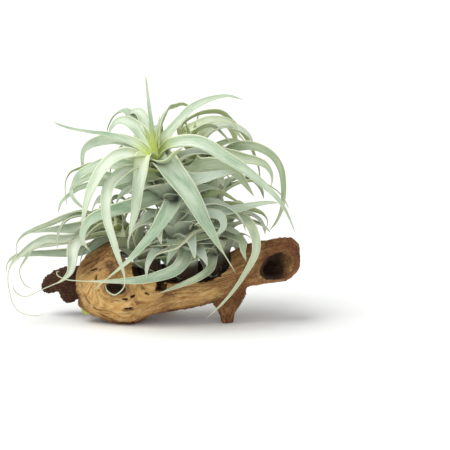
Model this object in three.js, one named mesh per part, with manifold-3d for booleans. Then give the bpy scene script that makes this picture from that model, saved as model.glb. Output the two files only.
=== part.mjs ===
// Tillandsia cacticola, an air plant of three leafy shoots, seated in the open trough of a weathered
// grapewood log. Millimetres, +Z up, +X to the viewer's right, +Y away from the viewer. The origin is on
// the surface, under the flat foot of the log's big left knob.
import * as THREE from "three";
import Module from "manifold-3d";

const wasm = await Module();
wasm.setup();
const { Manifold, Mesh } = wasm;

// Driving dimensions
const VIEW_ELEVATION = THREE.MathUtils.degToRad(10);
const VIEW_PLANE_DEPTH = -18;
const BLADE_THICKNESS = 1.0;
const TAIL_WIDTH = 1.5;
const TAIL_THICKNESS = 0.85;
const TAPER = 1.5;
const BREADTH = 1.2;
const CHANNEL_AT_BASE = 0.34;
const CHANNEL_AT_TIP = 0.08;
const ROOT_NARROWING = 0.6;
const FACING = 0.95;
const STEM_SIDES = 8;
const STEM_CLEARANCE = 0.35;
const SLIVER = 0.2;
const LOG_SIDES = 16;
const LOG_LEAN = 0.16;
const GOLDEN_ANGLE = THREE.MathUtils.degToRad(137.5);

// The way from the plant to the viewer. Blades twist towards it by their facing.
const VIEWER = new THREE.Vector3(0, -Math.cos(VIEW_ELEVATION), Math.sin(VIEW_ELEVATION));

// A point given as it is seen from the front: across to the right, up the picture, and its depth.
function seen(across, up, depth) {
  const lift = (depth - VIEW_PLANE_DEPTH) * Math.sin(VIEW_ELEVATION);
  return new THREE.Vector3(across, depth, (up - lift) / Math.cos(VIEW_ELEVATION));
}

// A closed solid from points and triangles that face outward.
function solidOf(points, triangles) {
  const vertProperties = new Float32Array(points.flatMap((p) => [p.x, p.y, p.z]));
  return new Manifold(new Mesh({ numProp: 3, vertProperties, triVerts: new Uint32Array(triangles) }));
}

// A solid through rings of equal length, each turning to the left as seen from ahead, with fan ends.
function loft(rings) {
  const sides = rings[0].length;
  const points = rings.flat();
  const triangles = [];
  for (let i = 0; i + 1 < rings.length; i++) {
    for (let k = 0; k < sides; k++) {
      const a = i * sides + k;
      const b = i * sides + ((k + 1) % sides);
      triangles.push(a, b, b + sides, a, b + sides, a + sides);
    }
  }
  const lastRing = (rings.length - 1) * sides;
  const centre = (ring) => ring.reduce((sum, p) => sum.add(p), new THREE.Vector3()).divideScalar(sides);
  const head = points.push(centre(rings[0])) - 1;
  const tail = points.push(centre(rings.at(-1))) - 1;
  for (let k = 0; k < sides; k++) {
    const next = (k + 1) % sides;
    triangles.push(head, next, k);
    triangles.push(tail, lastRing + k, lastRing + next);
  }
  return solidOf(points, triangles);
}

// A round, tapered tube along a curve. Radii are spread evenly over the curve's spans.
function tube(points, radii, sides, extra = 0) {
  const curve = new THREE.CatmullRomCurve3(points, false, "centripetal");
  const steps = (points.length - 1) * 2;
  const frames = curve.computeFrenetFrames(steps, false);
  const rings = [];
  for (let i = 0; i <= steps; i++) {
    const spot = (i / steps) * (radii.length - 1);
    const low = Math.min(Math.floor(spot), radii.length - 2);
    const radius = THREE.MathUtils.lerp(radii[low], radii[low + 1], spot - low) + extra;
    const centre = curve.getPointAt(i / steps);
    const ring = [];
    for (let k = 0; k < sides; k++) {
      const angle = (2 * Math.PI * k) / sides;
      const across = frames.normals[i].clone().multiplyScalar(Math.cos(angle) * radius);
      const along = frames.binormals[i].clone().multiplyScalar(Math.sin(angle) * radius);
      ring.push(centre.clone().add(across).add(along));
    }
    rings.push(ring);
  }
  return loft(rings);
}

// An ellipsoid that is turned by Euler angles in degrees.
function ellipsoid(centre, half, turn = [0, 0, 0]) {
  const sphere = new THREE.IcosahedronGeometry(1, 1);
  const place = new THREE.Object3D();
  place.position.copy(centre);
  place.scale.set(...half);
  place.rotation.set(...turn.map(THREE.MathUtils.degToRad));
  place.updateMatrix();
  return fromGeometry(sphere.applyMatrix4(place.matrix));
}

// A box that is turned by Euler angles in degrees.
function block(centre, size, turn = [0, 0, 0]) {
  const place = new THREE.Object3D();
  place.position.copy(centre);
  place.rotation.set(...turn.map(THREE.MathUtils.degToRad));
  place.updateMatrix();
  return fromGeometry(new THREE.BoxGeometry(...size).applyMatrix4(place.matrix));
}

// A closed three.js geometry as a solid: equal corners are merged by their rounded place.
function fromGeometry(geometry) {
  const position = geometry.getAttribute("position");
  const order = geometry.index ? Array.from(geometry.index.array) : [...Array(position.count).keys()];
  const seenBefore = new Map();
  const points = [];
  const triangles = order.map((i) => {
    const p = new THREE.Vector3().fromBufferAttribute(position, i);
    const key = p.toArray().map((v) => Math.round(v * 1000)).join(",");
    if (!seenBefore.has(key)) seenBefore.set(key, points.push(p) - 1);
    return seenBefore.get(key);
  });
  return solidOf(points, triangles);
}

// Stems: the plant's three shoots, rooted in the trough. Each spot is across, up, depth, as seen.
const STEMS = {
  main: {
    spots: [[58, 24, 6], [57, 55, 5], [54, 85, 2], [47, 115, -7], [38, 142, -18], [29, 164, -26]],
    radii: [9, 10, 10.5, 10, 9, 6.5],
  },
  right: {
    spots: [[90, 36, 8], [91, 64, 14], [89, 95, 20], [83, 130, 23], [74, 158, 19], [64, 178, 13]],
    radii: [8, 8.5, 9, 8.5, 7.5, 5],
  },
  left: {
    spots: [[26, 24, 8], [21, 58, 15], [9, 80, 18], [-4, 93, 14], [-17, 100, 8]],
    radii: [7.5, 8, 8, 7, 5],
  },
};
for (const stem of Object.values(STEMS)) {
  stem.points = stem.spots.map((spot) => seen(...spot));
  stem.curve = new THREE.CatmullRomCurve3(stem.points, false, "centripetal");
}

const UNDERSIDE = -0.8;

// Large leaves: their shoot, the share of the stem's length where they leave it, their width, and the
// hand-chosen spots that the blade passes, from near the stem to the tip. Those marked UNDERSIDE turn
// their back to the viewer, and a last number is the share of its length where a blade is a thread.
const LEAVES = {
  spike: ["main", 1.0, 5, [[28, 184, -28], [24, 214, -24], [22, 230, -22], [20, 247, -20]]],
  left_long: ["main", 0.98, 9, [[13, 177, -22], [0, 184, -14], [-19, 190, -6], [-38, 193, 0],
    [-61, 198, 4], [-76, 204, 6]]],
  left_broad: ["main", 0.94, 13, [[13, 175, -18], [-7, 184, -6], [-27, 184, 3], [-39, 180, 8],
    [-45, 174, 12], [-46, 158, 16], [-44, 148, 20]]],
  front_left: ["main", 0.95, 16, [[11, 167, -40], [-6, 165, -52], [-19, 154, -58], [-29, 139, -60],
    [-34, 128, -60], [-39, 110, -58], [-42, 95, -56]]],
  front_looped: ["main", 0.9, 14, [[8, 153, -46], [-3, 147, -56], [-13, 135, -62], [-16, 120, -64],
    [-15, 105, -63], [-10, 85, -60], [-6, 69, -57], [-2, 56, -54], [-0.5, 45, -52], [-2, 38, -51],
    [-11, 31, -50], [-19, 36, -48], [-20, 41, -47]], FACING, 0.68],
  front_centre: ["main", 0.96, 15, [[20, 167, -42], [17, 150, -52], [14, 135, -55], [11, 116, -55],
    [7, 99, -54], [4, 87, -52]]],
  front_right: ["main", 0.93, 21, [[38, 162, -42], [49, 149, -52], [60, 135, -56], [70, 118, -58],
    [77, 105, -58], [85, 92, -57], [92, 80, -56], [100, 67, -55], [109, 52, -54]], FACING, 0.86],
  right_arch: ["main", 0.96, 15, [[41, 175, -30], [53, 179, -32], [68, 180, -34], [81, 176, -37],
    [95, 167, -40], [110, 158, -42], [123, 149, -43], [135, 139, -43], [148, 127, -42],
    [156, 116, -41], [162, 105, -40], [169, 88, -39]]],
  upper_right: ["main", 0.98, 13, [[30, 175, -22], [41, 188, -18], [51, 200, -15], [63, 214, -12],
    [76, 222, -10], [87, 226, -9], [101, 228, -8], [118, 224, -7]]],
  back_folded: ["main", 0.95, 13, [[32, 189, -14], [38, 207, -2], [42, 216, 6], [48, 219, 12],
    [55, 222, 18], [65, 219, 24]], UNDERSIDE],
  upper_left_broad: ["main", 0.96, 16, [[25, 172, -18], [18, 187, -6], [9, 197, 2], [-1, 204, 8],
    [-9, 205, 12], [-17, 198, 15], [-20, 192, 16]]],
  olive_arch: ["main", 0.9, 9, [[16, 185, 4], [8, 205, 14], [3, 210, 18], [-4, 215, 21],
    [-13, 212, 24], [-20, 202, 26], [-23, 193, 27]], UNDERSIDE],
  pale_back: ["main", 0.92, 12, [[21, 195, 2], [12, 213, 12], [3, 214, 20], [-5, 206, 26]]],
  low_channel: ["main", 0.5, 18, [[46, 124, -22], [48, 122, -38], [44, 114, -50], [36, 101, -56],
    [26, 88, -59], [15, 76, -61], [3, 64, -62], [-13, 51, -62], [-32, 35, -60]], FACING, 0.9],
  mint_curled: ["main", 0.58, 20, [[36, 124, -22], [23, 122, -32], [9, 117, -38], [-9, 113, -41],
    [-21, 110, -42], [-35, 103, -42], [-42, 90, -41], [-40, 80, -40], [-35, 74, -39]]],
  over_lip: ["main", 0.28, 14, [[60, 76, -16], [57, 64, -30], [49, 55, -37], [33, 49, -41],
    [13, 45, -42], [-7, 44, -42], [-27, 44, -41], [-47, 44.5, -38], [-61, 46, -34], [-69, 50, -32],
    [-70, 53, -31], [-67, 54, -30]], FACING, 0.62],
  left_upper: ["main", 0.74, 15, [[18, 150, -16], [-5, 158, -18], [-23, 160, -16], [-35, 156, -12],
    [-47, 151, -8], [-54, 142, -5], [-57, 135, -4]]],
  left_olive: ["main", 0.7, 8, [[12, 152, 6], [-15, 161, 12], [-35, 161, 13], [-48, 157, 12],
    [-58, 153, 10], [-63, 145, 9], [-64, 135, 8], [-62, 116, 6]], UNDERSIDE],
  left_ring: ["main", 0.64, 10, [[15, 138, -8], [-12, 146, -6], [-32, 149, -3], [-49, 142, 0],
    [-56, 135, -3], [-53, 126, -8], [-46, 119, -13], [-41, 114, -16]]],
  left_strand: ["main", 0.6, 6, [[8, 132, 6], [-22, 142, 14], [-48, 138, 14], [-62, 129, 12],
    [-69, 122, 11], [-72, 112, 10]]],
  right_green: ["right", 0.96, 12, [[57, 190, 6], [66, 197, 4], [80, 204, 3], [93, 205, 2],
    [104, 202, 2], [111, 191, 1], [120, 182, 0]]],
  right_outer: ["right", 0.98, 9, [[54, 198, 14], [68, 210, 20], [85, 214, 24], [95, 213, 25],
    [104, 205, 26], [118, 191, 26], [124, 180, 25], [129, 168, 24], [133, 155, 23],
    [133, 137, 22]], UNDERSIDE],
  right_thread: ["right", 1.0, 5, [[72, 196, 8], [86, 199, 6], [96, 191, 4], [106, 180, 2]]],
  right_pale: ["right", 0.9, 11, [[75, 175, 10], [87, 177, 7], [96, 182, 5], [107, 185, 4],
    [115, 184, 4]]],
  right_hook: ["right", 0.94, 12, [[84, 174, 14], [100, 172, 15], [108, 177, 15], [119, 179, 15],
    [129, 178, 14], [139, 174, 13], [147, 168, 11], [153, 159, 9], [156, 149, 7], [157, 130, 5],
    [155, 115, 3], [149, 102, 1], [142, 93, -1]]],
  right_fold: ["right", 0.86, 13, [[88, 170, 2], [105, 168, -6], [118, 165, -9], [129, 163, -10],
    [137, 160, -10], [143, 153, -10], [145, 145, -10], [144, 138, -9]]],
  right_channel: ["right", 0.78, 21, [[62, 160, -2], [71, 156, -12], [83, 158, -18], [98, 157, -20],
    [109, 151, -22], [119, 139, -22], [128, 127, -21]]],
  small_olive: ["right", 0.56, 9, [[77, 119, -2], [79, 126, -8], [87, 132, -12], [92, 133, -13],
    [99, 130, -14], [106, 126, -13], [112, 123, -12]], UNDERSIDE],
  blue_fold: ["main", 0.62, 15, [[60, 116, -18], [76, 112, -25], [92, 112, -28], [110, 115, -29],
    [125, 119, -28], [140, 122, -27], [153, 122, -26]]],
  pale_turn: ["main", 0.52, 14, [[60, 105, -20], [74, 108, -30], [86, 110, -35], [94, 107, -38],
    [96, 99, -41], [91, 92, -43], [84, 90, -44]]],
  grey_right: ["main", 0.8, 18, [[50, 146, -26], [64, 143, -36], [80, 146, -40], [97, 151, -40],
    [111, 152, -38]]],
  grey_left: ["main", 0.72, 19, [[32, 148, -28], [20, 146, -38], [6, 146, -43], [-8, 141, -44],
    [-19, 132, -42]]],
  trough_curl: ["main", 0.34, 12, [[58, 84, -14], [51, 80, -25], [44, 71, -31], [40, 60, -33]]],
  blue_turned: ["right", 0.56, 12, [[100, 120, 8], [118, 117, 5], [128, 114, 3], [136, 111, 1],
    [141, 104, -2], [139, 95, -5]], UNDERSIDE],
  right_long: ["right", 0.46, 11, [[94, 106, 0], [106, 108, -14], [116, 105, -24], [123, 98, -32],
    [127, 89, -38], [128.5, 80, -42], [127.5, 72, -44], [123, 62, -46], [116, 50, -48],
    [106, 35, -48], [94, 21, -48], [87, 14, -47], [79, 7, -46]], FACING, 0.92],
  short_folded: ["right", 0.42, 14, [[92, 92, 4], [104, 88, -12], [115, 82, -28], [116, 74, -36],
    [119, 64, -38]]],
  level_mint: ["right", 0.36, 12, [[91, 87, 2], [84, 88, -20], [66, 85, -33], [45, 81, -39],
    [23, 79, -42]]],
  trough_blade: ["right", 0.28, 13, [[82, 78, -8], [74, 72, -20], [62, 65, -27], [52, 62, -29]]],
  lip_short: ["right", 0.22, 10, [[86, 66, -12], [83, 55, -27], [73, 48, -34], [56, 41, -37],
    [40, 35, -39], [30, 31, -40]], FACING, 0.9],
  dry_thread: ["right", 0.42, 3, [[82, 96, -10], [74, 96, -26], [66, 91, -38], [59, 84, -44],
    [50, 77, -48], [36, 73, -50], [27, 69, -51]]],
  outer_long: ["left", 0.92, 11, [[-30, 110, 0], [-45, 115, -6], [-62, 110, -10], [-77, 103, -12],
    [-94, 96, -14], [-105, 90, -14], [-111, 82, -14], [-112, 73, -14], [-109, 62, -13]], FACING, 0.8],
  outer_hook: ["left", 0.88, 11, [[-32, 106, -6], [-44, 109, -12], [-57, 106, -17], [-64, 100, -19],
    [-68, 92, -20], [-70, 83, -20], [-70, 76, -19]]],
  outer_straight: ["left", 0.82, 14, [[-32, 98, 8], [-55, 96, 12], [-72, 95, 12], [-87, 94, 11],
    [-103, 92, 10]]],
  outer_ring: ["left", 0.74, 15, [[-30, 90, -4], [-48, 85, -8], [-67, 83, -10], [-81, 84, -11],
    [-90, 81, -12], [-98, 77, -12], [-107, 70, -13], [-115, 63, -14], [-120, 54, -14],
    [-121, 43, -14], [-119, 29, -14], [-116, 19, -14], [-110, 12, -14], [-102, 9, -14],
    [-94, 8, -14], [-84, 10, -14]], FACING, 0.56],
  outer_level: ["left", 0.64, 13, [[-20, 84, 20], [-38, 76, 22], [-55, 71, 20], [-77, 70, 16],
    [-98, 70, 12], [-115, 68, 9], [-122, 64, 8], [-125, 59, 7], [-126, 50, 7]], FACING, 0.84],
  outer_curl: ["left", 0.68, 9, [[-28, 88, 12], [-52, 84, 6], [-78, 80, 0], [-96, 76, -4],
    [-104, 65, -5], [-110, 55, -6], [-109, 46, -6], [-105, 39, -6], [-98, 35, -5]], FACING, 0.66],
  hanging_pale: ["left", 0.8, 20, [[-28, 96, -6], [-42, 88, -16], [-51, 76, -22], [-53, 64, -24],
    [-56, 53, -25], [-64, 45, -25], [-77, 39, -25], [-86, 35, -25], [-94, 31, -25], [-102, 28, -25],
    [-109, 30, -24], [-114, 35, -23], [-115, 40, -23]], FACING, 0.5],
};

// Leaves on the far side: each leaves its stem at a compass angle, starts at a lift above the level and
// bends evenly down to its droop.
const ARCHED = {
  back_high: ["main", 0.92, 15, { length: 128, turn: 95, lift: 72, droop: 72 }],
  back_left: ["main", 0.84, 15, { length: 138, turn: 128, lift: 58, droop: 72 }],
  back_middle: ["main", 0.68, 16, { length: 140, turn: 84, lift: 50, droop: 76 }],
  back_low: ["main", 0.5, 15, { length: 120, turn: 132, lift: 44, droop: 66 }],
  right_back_high: ["right", 0.9, 14, { length: 128, turn: 62, lift: 62, droop: 74 }],
  right_back_middle: ["right", 0.66, 15, { length: 132, turn: 88, lift: 46, droop: 74 }],
  right_back_side: ["right", 0.56, 14, { length: 112, turn: 28, lift: 44, droop: 58 }],
  right_back_low: ["right", 0.42, 14, { length: 104, turn: 64, lift: 40, droop: 60 }],
  left_back_high: ["left", 0.9, 13, { length: 104, turn: 118, lift: 54, droop: 66 }],
  left_back_low: ["left", 0.68, 13, { length: 100, turn: 82, lift: 48, droop: 66 }],
};
// Short leaves that follow the spiral up each stem and hide it, and young leaves in each head.
const SHEATHS = {
  main: { count: 5, from: 0.24, to: 0.82, length: 66, width: 18, first: 200 },
  right: { count: 6, from: 0.28, to: 0.82, length: 62, width: 17, first: 320 },
  left: { count: 4, from: 0.42, to: 0.82, length: 56, width: 15, first: 150 },
};
const SHEATH_LIFT = { first: 74, last: -14 };
const HEADS = {
  main: { count: 5, longest: 54, shortest: 28, width: 8, spread: 24 },
  right: { count: 3, longest: 42, shortest: 26, width: 9, spread: 24 },
  left: { count: 3, longest: 40, shortest: 24, width: 9, spread: 28 },
};

// Points along a blade that leaves a stem at one pitch and bends evenly to another, in degrees.
function archedPath(start, axis, heading, length, firstPitch, lastPitch, steps) {
  const out = heading.clone().addScaledVector(axis, -heading.dot(axis)).normalize();
  const spot = start.clone();
  const path = [];
  for (let i = 0; i < steps; i++) {
    const pitch = THREE.MathUtils.degToRad(THREE.MathUtils.lerp(firstPitch, lastPitch, i / (steps - 1)));
    spot.addScaledVector(out, (Math.cos(pitch) * length) / steps);
    spot.addScaledVector(axis, (Math.sin(pitch) * length) / steps);
    path.push(spot.clone());
  }
  return path;
}

// A channelled blade that tapers to a thin tail. Each station has three top and three bottom points,
// and both faces are split along the same diagonals.
function blade(start, axis, path, width, facing = FACING, reach = 1) {
  const curve = new THREE.CatmullRomCurve3([start, ...path], false, "centripetal");
  const count = path.length;
  const out = path[Math.min(1, path.length - 1)].clone().sub(start);
  const side = axis.clone().cross(out).normalize();
  const points = [];
  let lastTangent = null;
  for (let i = 0; i <= count; i++) {
    const share = i / count;
    const centre = curve.getPoint(share);
    const tangent = curve.getTangent(share);
    if (lastTangent) {
      side.applyQuaternion(new THREE.Quaternion().setFromUnitVectors(lastTangent, tangent));
    }
    side.addScaledVector(tangent, -side.dot(tangent)).normalize();
    lastTangent = tangent;
    const up = tangent.clone().cross(side);
    up.addScaledVector(VIEWER, facing * THREE.MathUtils.smoothstep(share, 0, 0.35));
    up.addScaledVector(tangent, -up.dot(tangent)).normalize();
    const across = up.clone().cross(tangent);
    const left = 1 - share;
    const taper = (1 - Math.min(share / reach, 1) ** TAPER) * (i === 0 ? ROOT_NARROWING : 1);
    const wide = TAIL_WIDTH + (width * BREADTH - TAIL_WIDTH) * taper;
    const cup = wide * (CHANNEL_AT_TIP + (CHANNEL_AT_BASE - CHANNEL_AT_TIP) * left);
    const thick = THREE.MathUtils.lerp(TAIL_THICKNESS, BLADE_THICKNESS, left);
    for (const face of [0.5, -0.5]) {
      for (const k of [-1, 0, 1]) {
        const point = centre.clone().addScaledVector(across, (k * wide) / 2);
        points.push(point.addScaledVector(up, cup * Math.abs(k) + face * thick));
      }
    }
  }
  const triangles = [];
  for (let i = 0; i < count; i++) {
    const here = i * 6;
    const next = here + 6;
    for (const k of [0, 1]) {
      triangles.push(here + k, next + k + 1, here + k + 1, here + k, next + k, next + k + 1);
      const low = here + 3 + k;
      triangles.push(low, low + 1, low + 7, low, low + 7, low + 6);
    }
    triangles.push(here, here + 3, next + 3, here, next + 3, next);
    triangles.push(here + 2, next + 5, here + 5, here + 2, next + 2, next + 5);
  }
  const end = count * 6;
  triangles.push(0, 1, 4, 0, 4, 3, 1, 2, 5, 1, 5, 4);
  triangles.push(end, end + 4, end + 1, end, end + 3, end + 4);
  triangles.push(end + 1, end + 5, end + 2, end + 1, end + 4, end + 5);
  return solidOf(points, triangles);
}

// One shoot: its stem with every leaf that grows on it, joined in one body.
function shoot(name) {
  const stem = STEMS[name];
  let body = tube(stem.points, stem.radii, STEM_SIDES);
  const grow = (share, path, width, facing, reach) => {
    const start = stem.curve.getPointAt(share);
    body = body.add(blade(start, stem.curve.getTangentAt(share), path(start), width, facing, reach));
  };
  for (const [owner, share, width, spots, facing, reach] of Object.values(LEAVES)) {
    if (owner === name) grow(share, () => spots.map((spot) => seen(...spot)), width, facing, reach);
  }
  for (const [owner, share, width, arch] of Object.values(ARCHED)) {
    if (owner !== name) continue;
    const turn = THREE.MathUtils.degToRad(arch.turn);
    const heading = new THREE.Vector3(Math.cos(turn), Math.sin(turn), 0);
    const upright = new THREE.Vector3(0, 0, 1);
    const path = (start) => archedPath(start, upright, heading, arch.length, arch.lift, -arch.droop, 6);
    grow(share, path, width, 0);
  }
  const sheath = SHEATHS[name];
  for (let i = 0; i < sheath.count; i++) {
    const share = THREE.MathUtils.lerp(sheath.from, sheath.to, i / (sheath.count - 1));
    const axis = stem.curve.getTangentAt(share);
    const turn = THREE.MathUtils.degToRad(sheath.first) + i * GOLDEN_ANGLE;
    const heading = new THREE.Vector3(Math.cos(turn), Math.sin(turn), 0);
    const { first, last } = SHEATH_LIFT;
    grow(share, (start) => archedPath(start, axis, heading, sheath.length, first, last, 3), sheath.width, 0);
  }
  const head = HEADS[name];
  for (let i = 0; i < head.count; i++) {
    const share = i / (head.count - 1);
    const axis = stem.curve.getTangentAt(1);
    const heading = new THREE.Vector3(1, 0, 0).cross(axis).applyAxisAngle(axis, i * GOLDEN_ANGLE);
    const length = THREE.MathUtils.lerp(head.longest, head.shortest, share);
    const lift = 90 - head.spread * (1 - 0.6 * share);
    grow(0.96 + 0.04 * share,
      (start) => archedPath(start, axis, heading, length, lift, lift - 22, 3), head.width, 0);
  }
  return tidied(body);
}

// A body without the tiny hollows and sliver faces that joining its pieces leaves.
function tidied(body) {
  const [outer] = body.simplify(SLIVER).decompose().sort((a, b) => b.volume() - a.volume());
  return outer;
}

// The log's sections along its length: across, underside, top, half depth.
const LOG_SECTIONS = [
  [-53, 32, 50, 10], [-50, 25, 57, 17], [-45, 18, 64, 22], [-38, 11, 69, 26], [-30, 5, 74, 29],
  [-22, 0, 79, 31], [-17, -2, 80, 32], [-11, -3.5, 72, 33], [-6, -3.5, 63, 33], [2, -3, 59, 33],
  [9, 0, 59, 32], [16, 4, 59, 32], [24, 8, 60, 31], [33, 10, 60, 31], [43, 11, 60, 31],
  [54, 13, 60, 31], [66, 15, 61, 30], [75, 17, 62, 30], [83, 20, 63, 29], [92, 24, 65, 29],
  [100, 28, 67, 28], [107, 33, 70, 28], [114, 36, 74, 27], [123, 38, 77, 27], [134, 40, 80, 26],
  [145, 41, 82, 26], [156, 42, 84, 25], [164, 45, 84, 23], [170, 50, 81, 18], [174, 57, 76, 10],
];
// The dark stub of a side branch behind the knob's left, cut the same way.
const BRANCH_SECTIONS = [
  [-86, 30, 36, 4], [-84, 27, 39, 6], [-80, 24, 42, 8], [-74, 25, 45, 9], [-70, 28, 46, 10],
  [-68, 22, 47, 11], [-64, 18, 49, 12], [-56, 17, 50, 13], [-44, 16, 51, 14], [-30, 15, 50, 16],
];
const BRANCH_DEPTH = 26;
const LEG_FOOT = { x: 100, y: -10, radii: [6.5, 7.5, 14, 19, 19], heights: [-1, 8, 19, 30, 42], sides: 14 };
const BACK_FOOT = { from: [26, 8, 26], over: [28, 34, 17], to: [29, 52, -4], radii: [13, 12, 9] };
const TROUGH = { from: 3, to: 106, depth: -1, halfDepth: 25, level: 48, halfHeight: 25, sides: 16 };

// Rings across the log with twisted ridges of grain, taller at the back by the lean.
function trunk(sections, depth, ridge) {
  const rings = sections.map(([across, under, top, half]) => {
    const ring = [];
    for (let k = 0; k < LOG_SIDES; k++) {
      const angle = (2 * Math.PI * k) / LOG_SIDES;
      const grain = Math.sin(5 * angle + across / 17) + 0.6 * Math.sin(9 * angle - across / 11);
      const swell = 1 + ridge * grain;
      const y = Math.cos(angle) * half * swell;
      const z = (under + top) / 2 + (Math.sin(angle) * (top - under) * swell) / 2;
      ring.push(new THREE.Vector3(across, depth + y, z + LOG_LEAN * y));
    }
    return ring;
  });
  return loft(rings);
}

function logSolid() {
  const leg = LEG_FOOT.heights.map((z, i) => {
    const ring = [];
    for (let k = 0; k < LEG_FOOT.sides; k++) {
      const angle = (2 * Math.PI * k) / LEG_FOOT.sides;
      const radius = LEG_FOOT.radii[i] * (1 + 0.06 * Math.sin(3 * angle + z / 8));
      ring.push(new THREE.Vector3(LEG_FOOT.x + radius * Math.cos(angle),
        LEG_FOOT.y + radius * Math.sin(angle), z));
    }
    return ring;
  });
  const backFoot = [BACK_FOOT.from, BACK_FOOT.over, BACK_FOOT.to].map((p) => new THREE.Vector3(...p));
  let wood = trunk(LOG_SECTIONS, 0, 0.028)
    .add(trunk(BRANCH_SECTIONS, BRANCH_DEPTH, 0.05))
    .add(loft(leg))
    .add(tube(backFoot, BACK_FOOT.radii, 12));

  const middle = (TROUGH.from + TROUGH.to) / 2;
  const half = (TROUGH.to - TROUGH.from) / 2;
  const trough = [-1, -0.94, -0.8, -0.5, 0, 0.5, 0.8, 0.94, 1].map((share) => {
    const ring = [];
    const narrow = Math.sqrt(1 - 0.92 * share ** 6);
    for (let k = 0; k < TROUGH.sides; k++) {
      const angle = (2 * Math.PI * k) / TROUGH.sides;
      const wave = 1 + 0.03 * Math.sin(4 * angle + 5 * share);
      ring.push(new THREE.Vector3(
        middle + half * share,
        TROUGH.depth + TROUGH.halfDepth * narrow * wave * Math.cos(angle),
        TROUGH.level + 6 * Math.max(share, 0) + TROUGH.halfHeight * narrow * wave * Math.sin(angle),
      ));
    }
    return ring;
  });
  const cutters = [
    loft(trough),
    block(new THREE.Vector3(45, 0, -20), [300, 200, 40]),
    // the open end's oval hollow, a big knot hole, small knots, checks and a square notch
    ellipsoid(seen(148, 58, -27), [20, 24, 13], [0, -24, 0]),
    ellipsoid(seen(134, 55, -6), [20, 12, 9], [0, -10, 0]),
    ellipsoid(seen(-11.5, 36, -33), [10, 13, 5.5], [0, 8, 0]),
    ellipsoid(seen(-18, 59, -30), [4, 9, 4]),
    block(seen(34, 37, -30), [11, 16, 9], [0, 12, 0]),
    ellipsoid(seen(13, 38, -31), [10, 7, 2.6], [0, 6, 0]),
    block(seen(-1, 26, -33), [1.6, 12, 11], [0, 24, 0]),
    block(seen(6, 29, -33), [1.4, 12, 9], [0, 30, 0]),
    ellipsoid(seen(1, 15.5, -32), [7, 8, 1.8], [0, -14, 0]),
  ];
  for (const cutter of cutters) wood = wood.subtract(cutter);
  for (const stem of Object.values(STEMS)) {
    wood = wood.subtract(tube(stem.points, stem.radii, STEM_SIDES, STEM_CLEARANCE));
  }
  return tidied(wood);
}

function meshOf(name, solid, color, roughness) {
  const { numProp, vertProperties, triVerts } = solid.getMesh();
  const position = new Float32Array((vertProperties.length / numProp) * 3);
  for (let i = 0; i < position.length / 3; i++) {
    position.set(vertProperties.subarray(i * numProp, i * numProp + 3), i * 3);
  }
  const geometry = new THREE.BufferGeometry();
  geometry.setAttribute("position", new THREE.BufferAttribute(position, 3));
  geometry.setIndex(new THREE.BufferAttribute(triVerts, 1));
  const material = new THREE.MeshStandardMaterial({ color, roughness, metalness: 0 });
  const mesh = new THREE.Mesh(geometry, material);
  mesh.name = name;
  return mesh;
}

const plant = new THREE.Group();
plant.add(meshOf("grapewood_log", logSolid(), "#c39a5c", 0.8));
plant.add(meshOf("main_shoot", shoot("main"), "#a8c5a6", 0.6));
plant.add(meshOf("right_shoot", shoot("right"), "#9fb89c", 0.6));
plant.add(meshOf("left_shoot", shoot("left"), "#a9bdb0", 0.6));

export default plant;
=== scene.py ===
import math
import bmesh
import bpy
import numpy as np
from mathutils import Matrix, Vector


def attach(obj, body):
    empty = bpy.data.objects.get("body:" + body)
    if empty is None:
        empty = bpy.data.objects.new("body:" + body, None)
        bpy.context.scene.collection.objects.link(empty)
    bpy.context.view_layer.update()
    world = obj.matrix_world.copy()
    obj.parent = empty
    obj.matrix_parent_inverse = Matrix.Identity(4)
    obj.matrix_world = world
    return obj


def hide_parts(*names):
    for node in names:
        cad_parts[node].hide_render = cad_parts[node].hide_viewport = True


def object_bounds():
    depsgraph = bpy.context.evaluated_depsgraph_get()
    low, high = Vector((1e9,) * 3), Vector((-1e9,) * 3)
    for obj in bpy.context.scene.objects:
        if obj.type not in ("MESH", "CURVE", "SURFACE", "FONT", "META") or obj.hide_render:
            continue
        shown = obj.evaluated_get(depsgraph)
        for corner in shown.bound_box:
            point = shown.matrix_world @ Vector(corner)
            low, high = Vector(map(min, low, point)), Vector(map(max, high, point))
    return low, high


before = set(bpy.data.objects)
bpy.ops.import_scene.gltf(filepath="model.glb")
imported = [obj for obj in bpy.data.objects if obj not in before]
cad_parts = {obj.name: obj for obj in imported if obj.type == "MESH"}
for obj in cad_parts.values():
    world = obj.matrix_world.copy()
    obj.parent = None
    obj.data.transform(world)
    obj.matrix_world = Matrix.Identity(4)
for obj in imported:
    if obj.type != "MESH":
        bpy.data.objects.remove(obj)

cad_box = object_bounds()

# The viewpoint. The plant is seen from the front, ten degrees above the surface, through a long lens.
# One millimetre on the plant's own plane is one pixel of a 450 pixel frame.
MM = 0.001
VIEW_ELEVATION = math.radians(10)
VIEW_PLANE_DEPTH = -18
FRAME_WIDTH = 450 * MM
FRAME_CENTRE = (98, 100)
LENS = 120
SENSOR = 36


def seen(across, up, depth):
    """A place given as it is seen from the front, in millimetres: across, up the picture, and depth."""
    lift = (depth - VIEW_PLANE_DEPTH) * math.sin(VIEW_ELEVATION)
    return np.array([across, depth, (up - lift) / math.cos(VIEW_ELEVATION)])


def placed(name, data):
    """A new object in the scene."""
    made = bpy.data.objects.new(name, data)
    bpy.context.collection.objects.link(made)
    return made


def pointing(direction):
    """The turn that points a camera or a lamp along a direction."""
    return direction.to_track_quat("-Z", "Y").to_euler()


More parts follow.
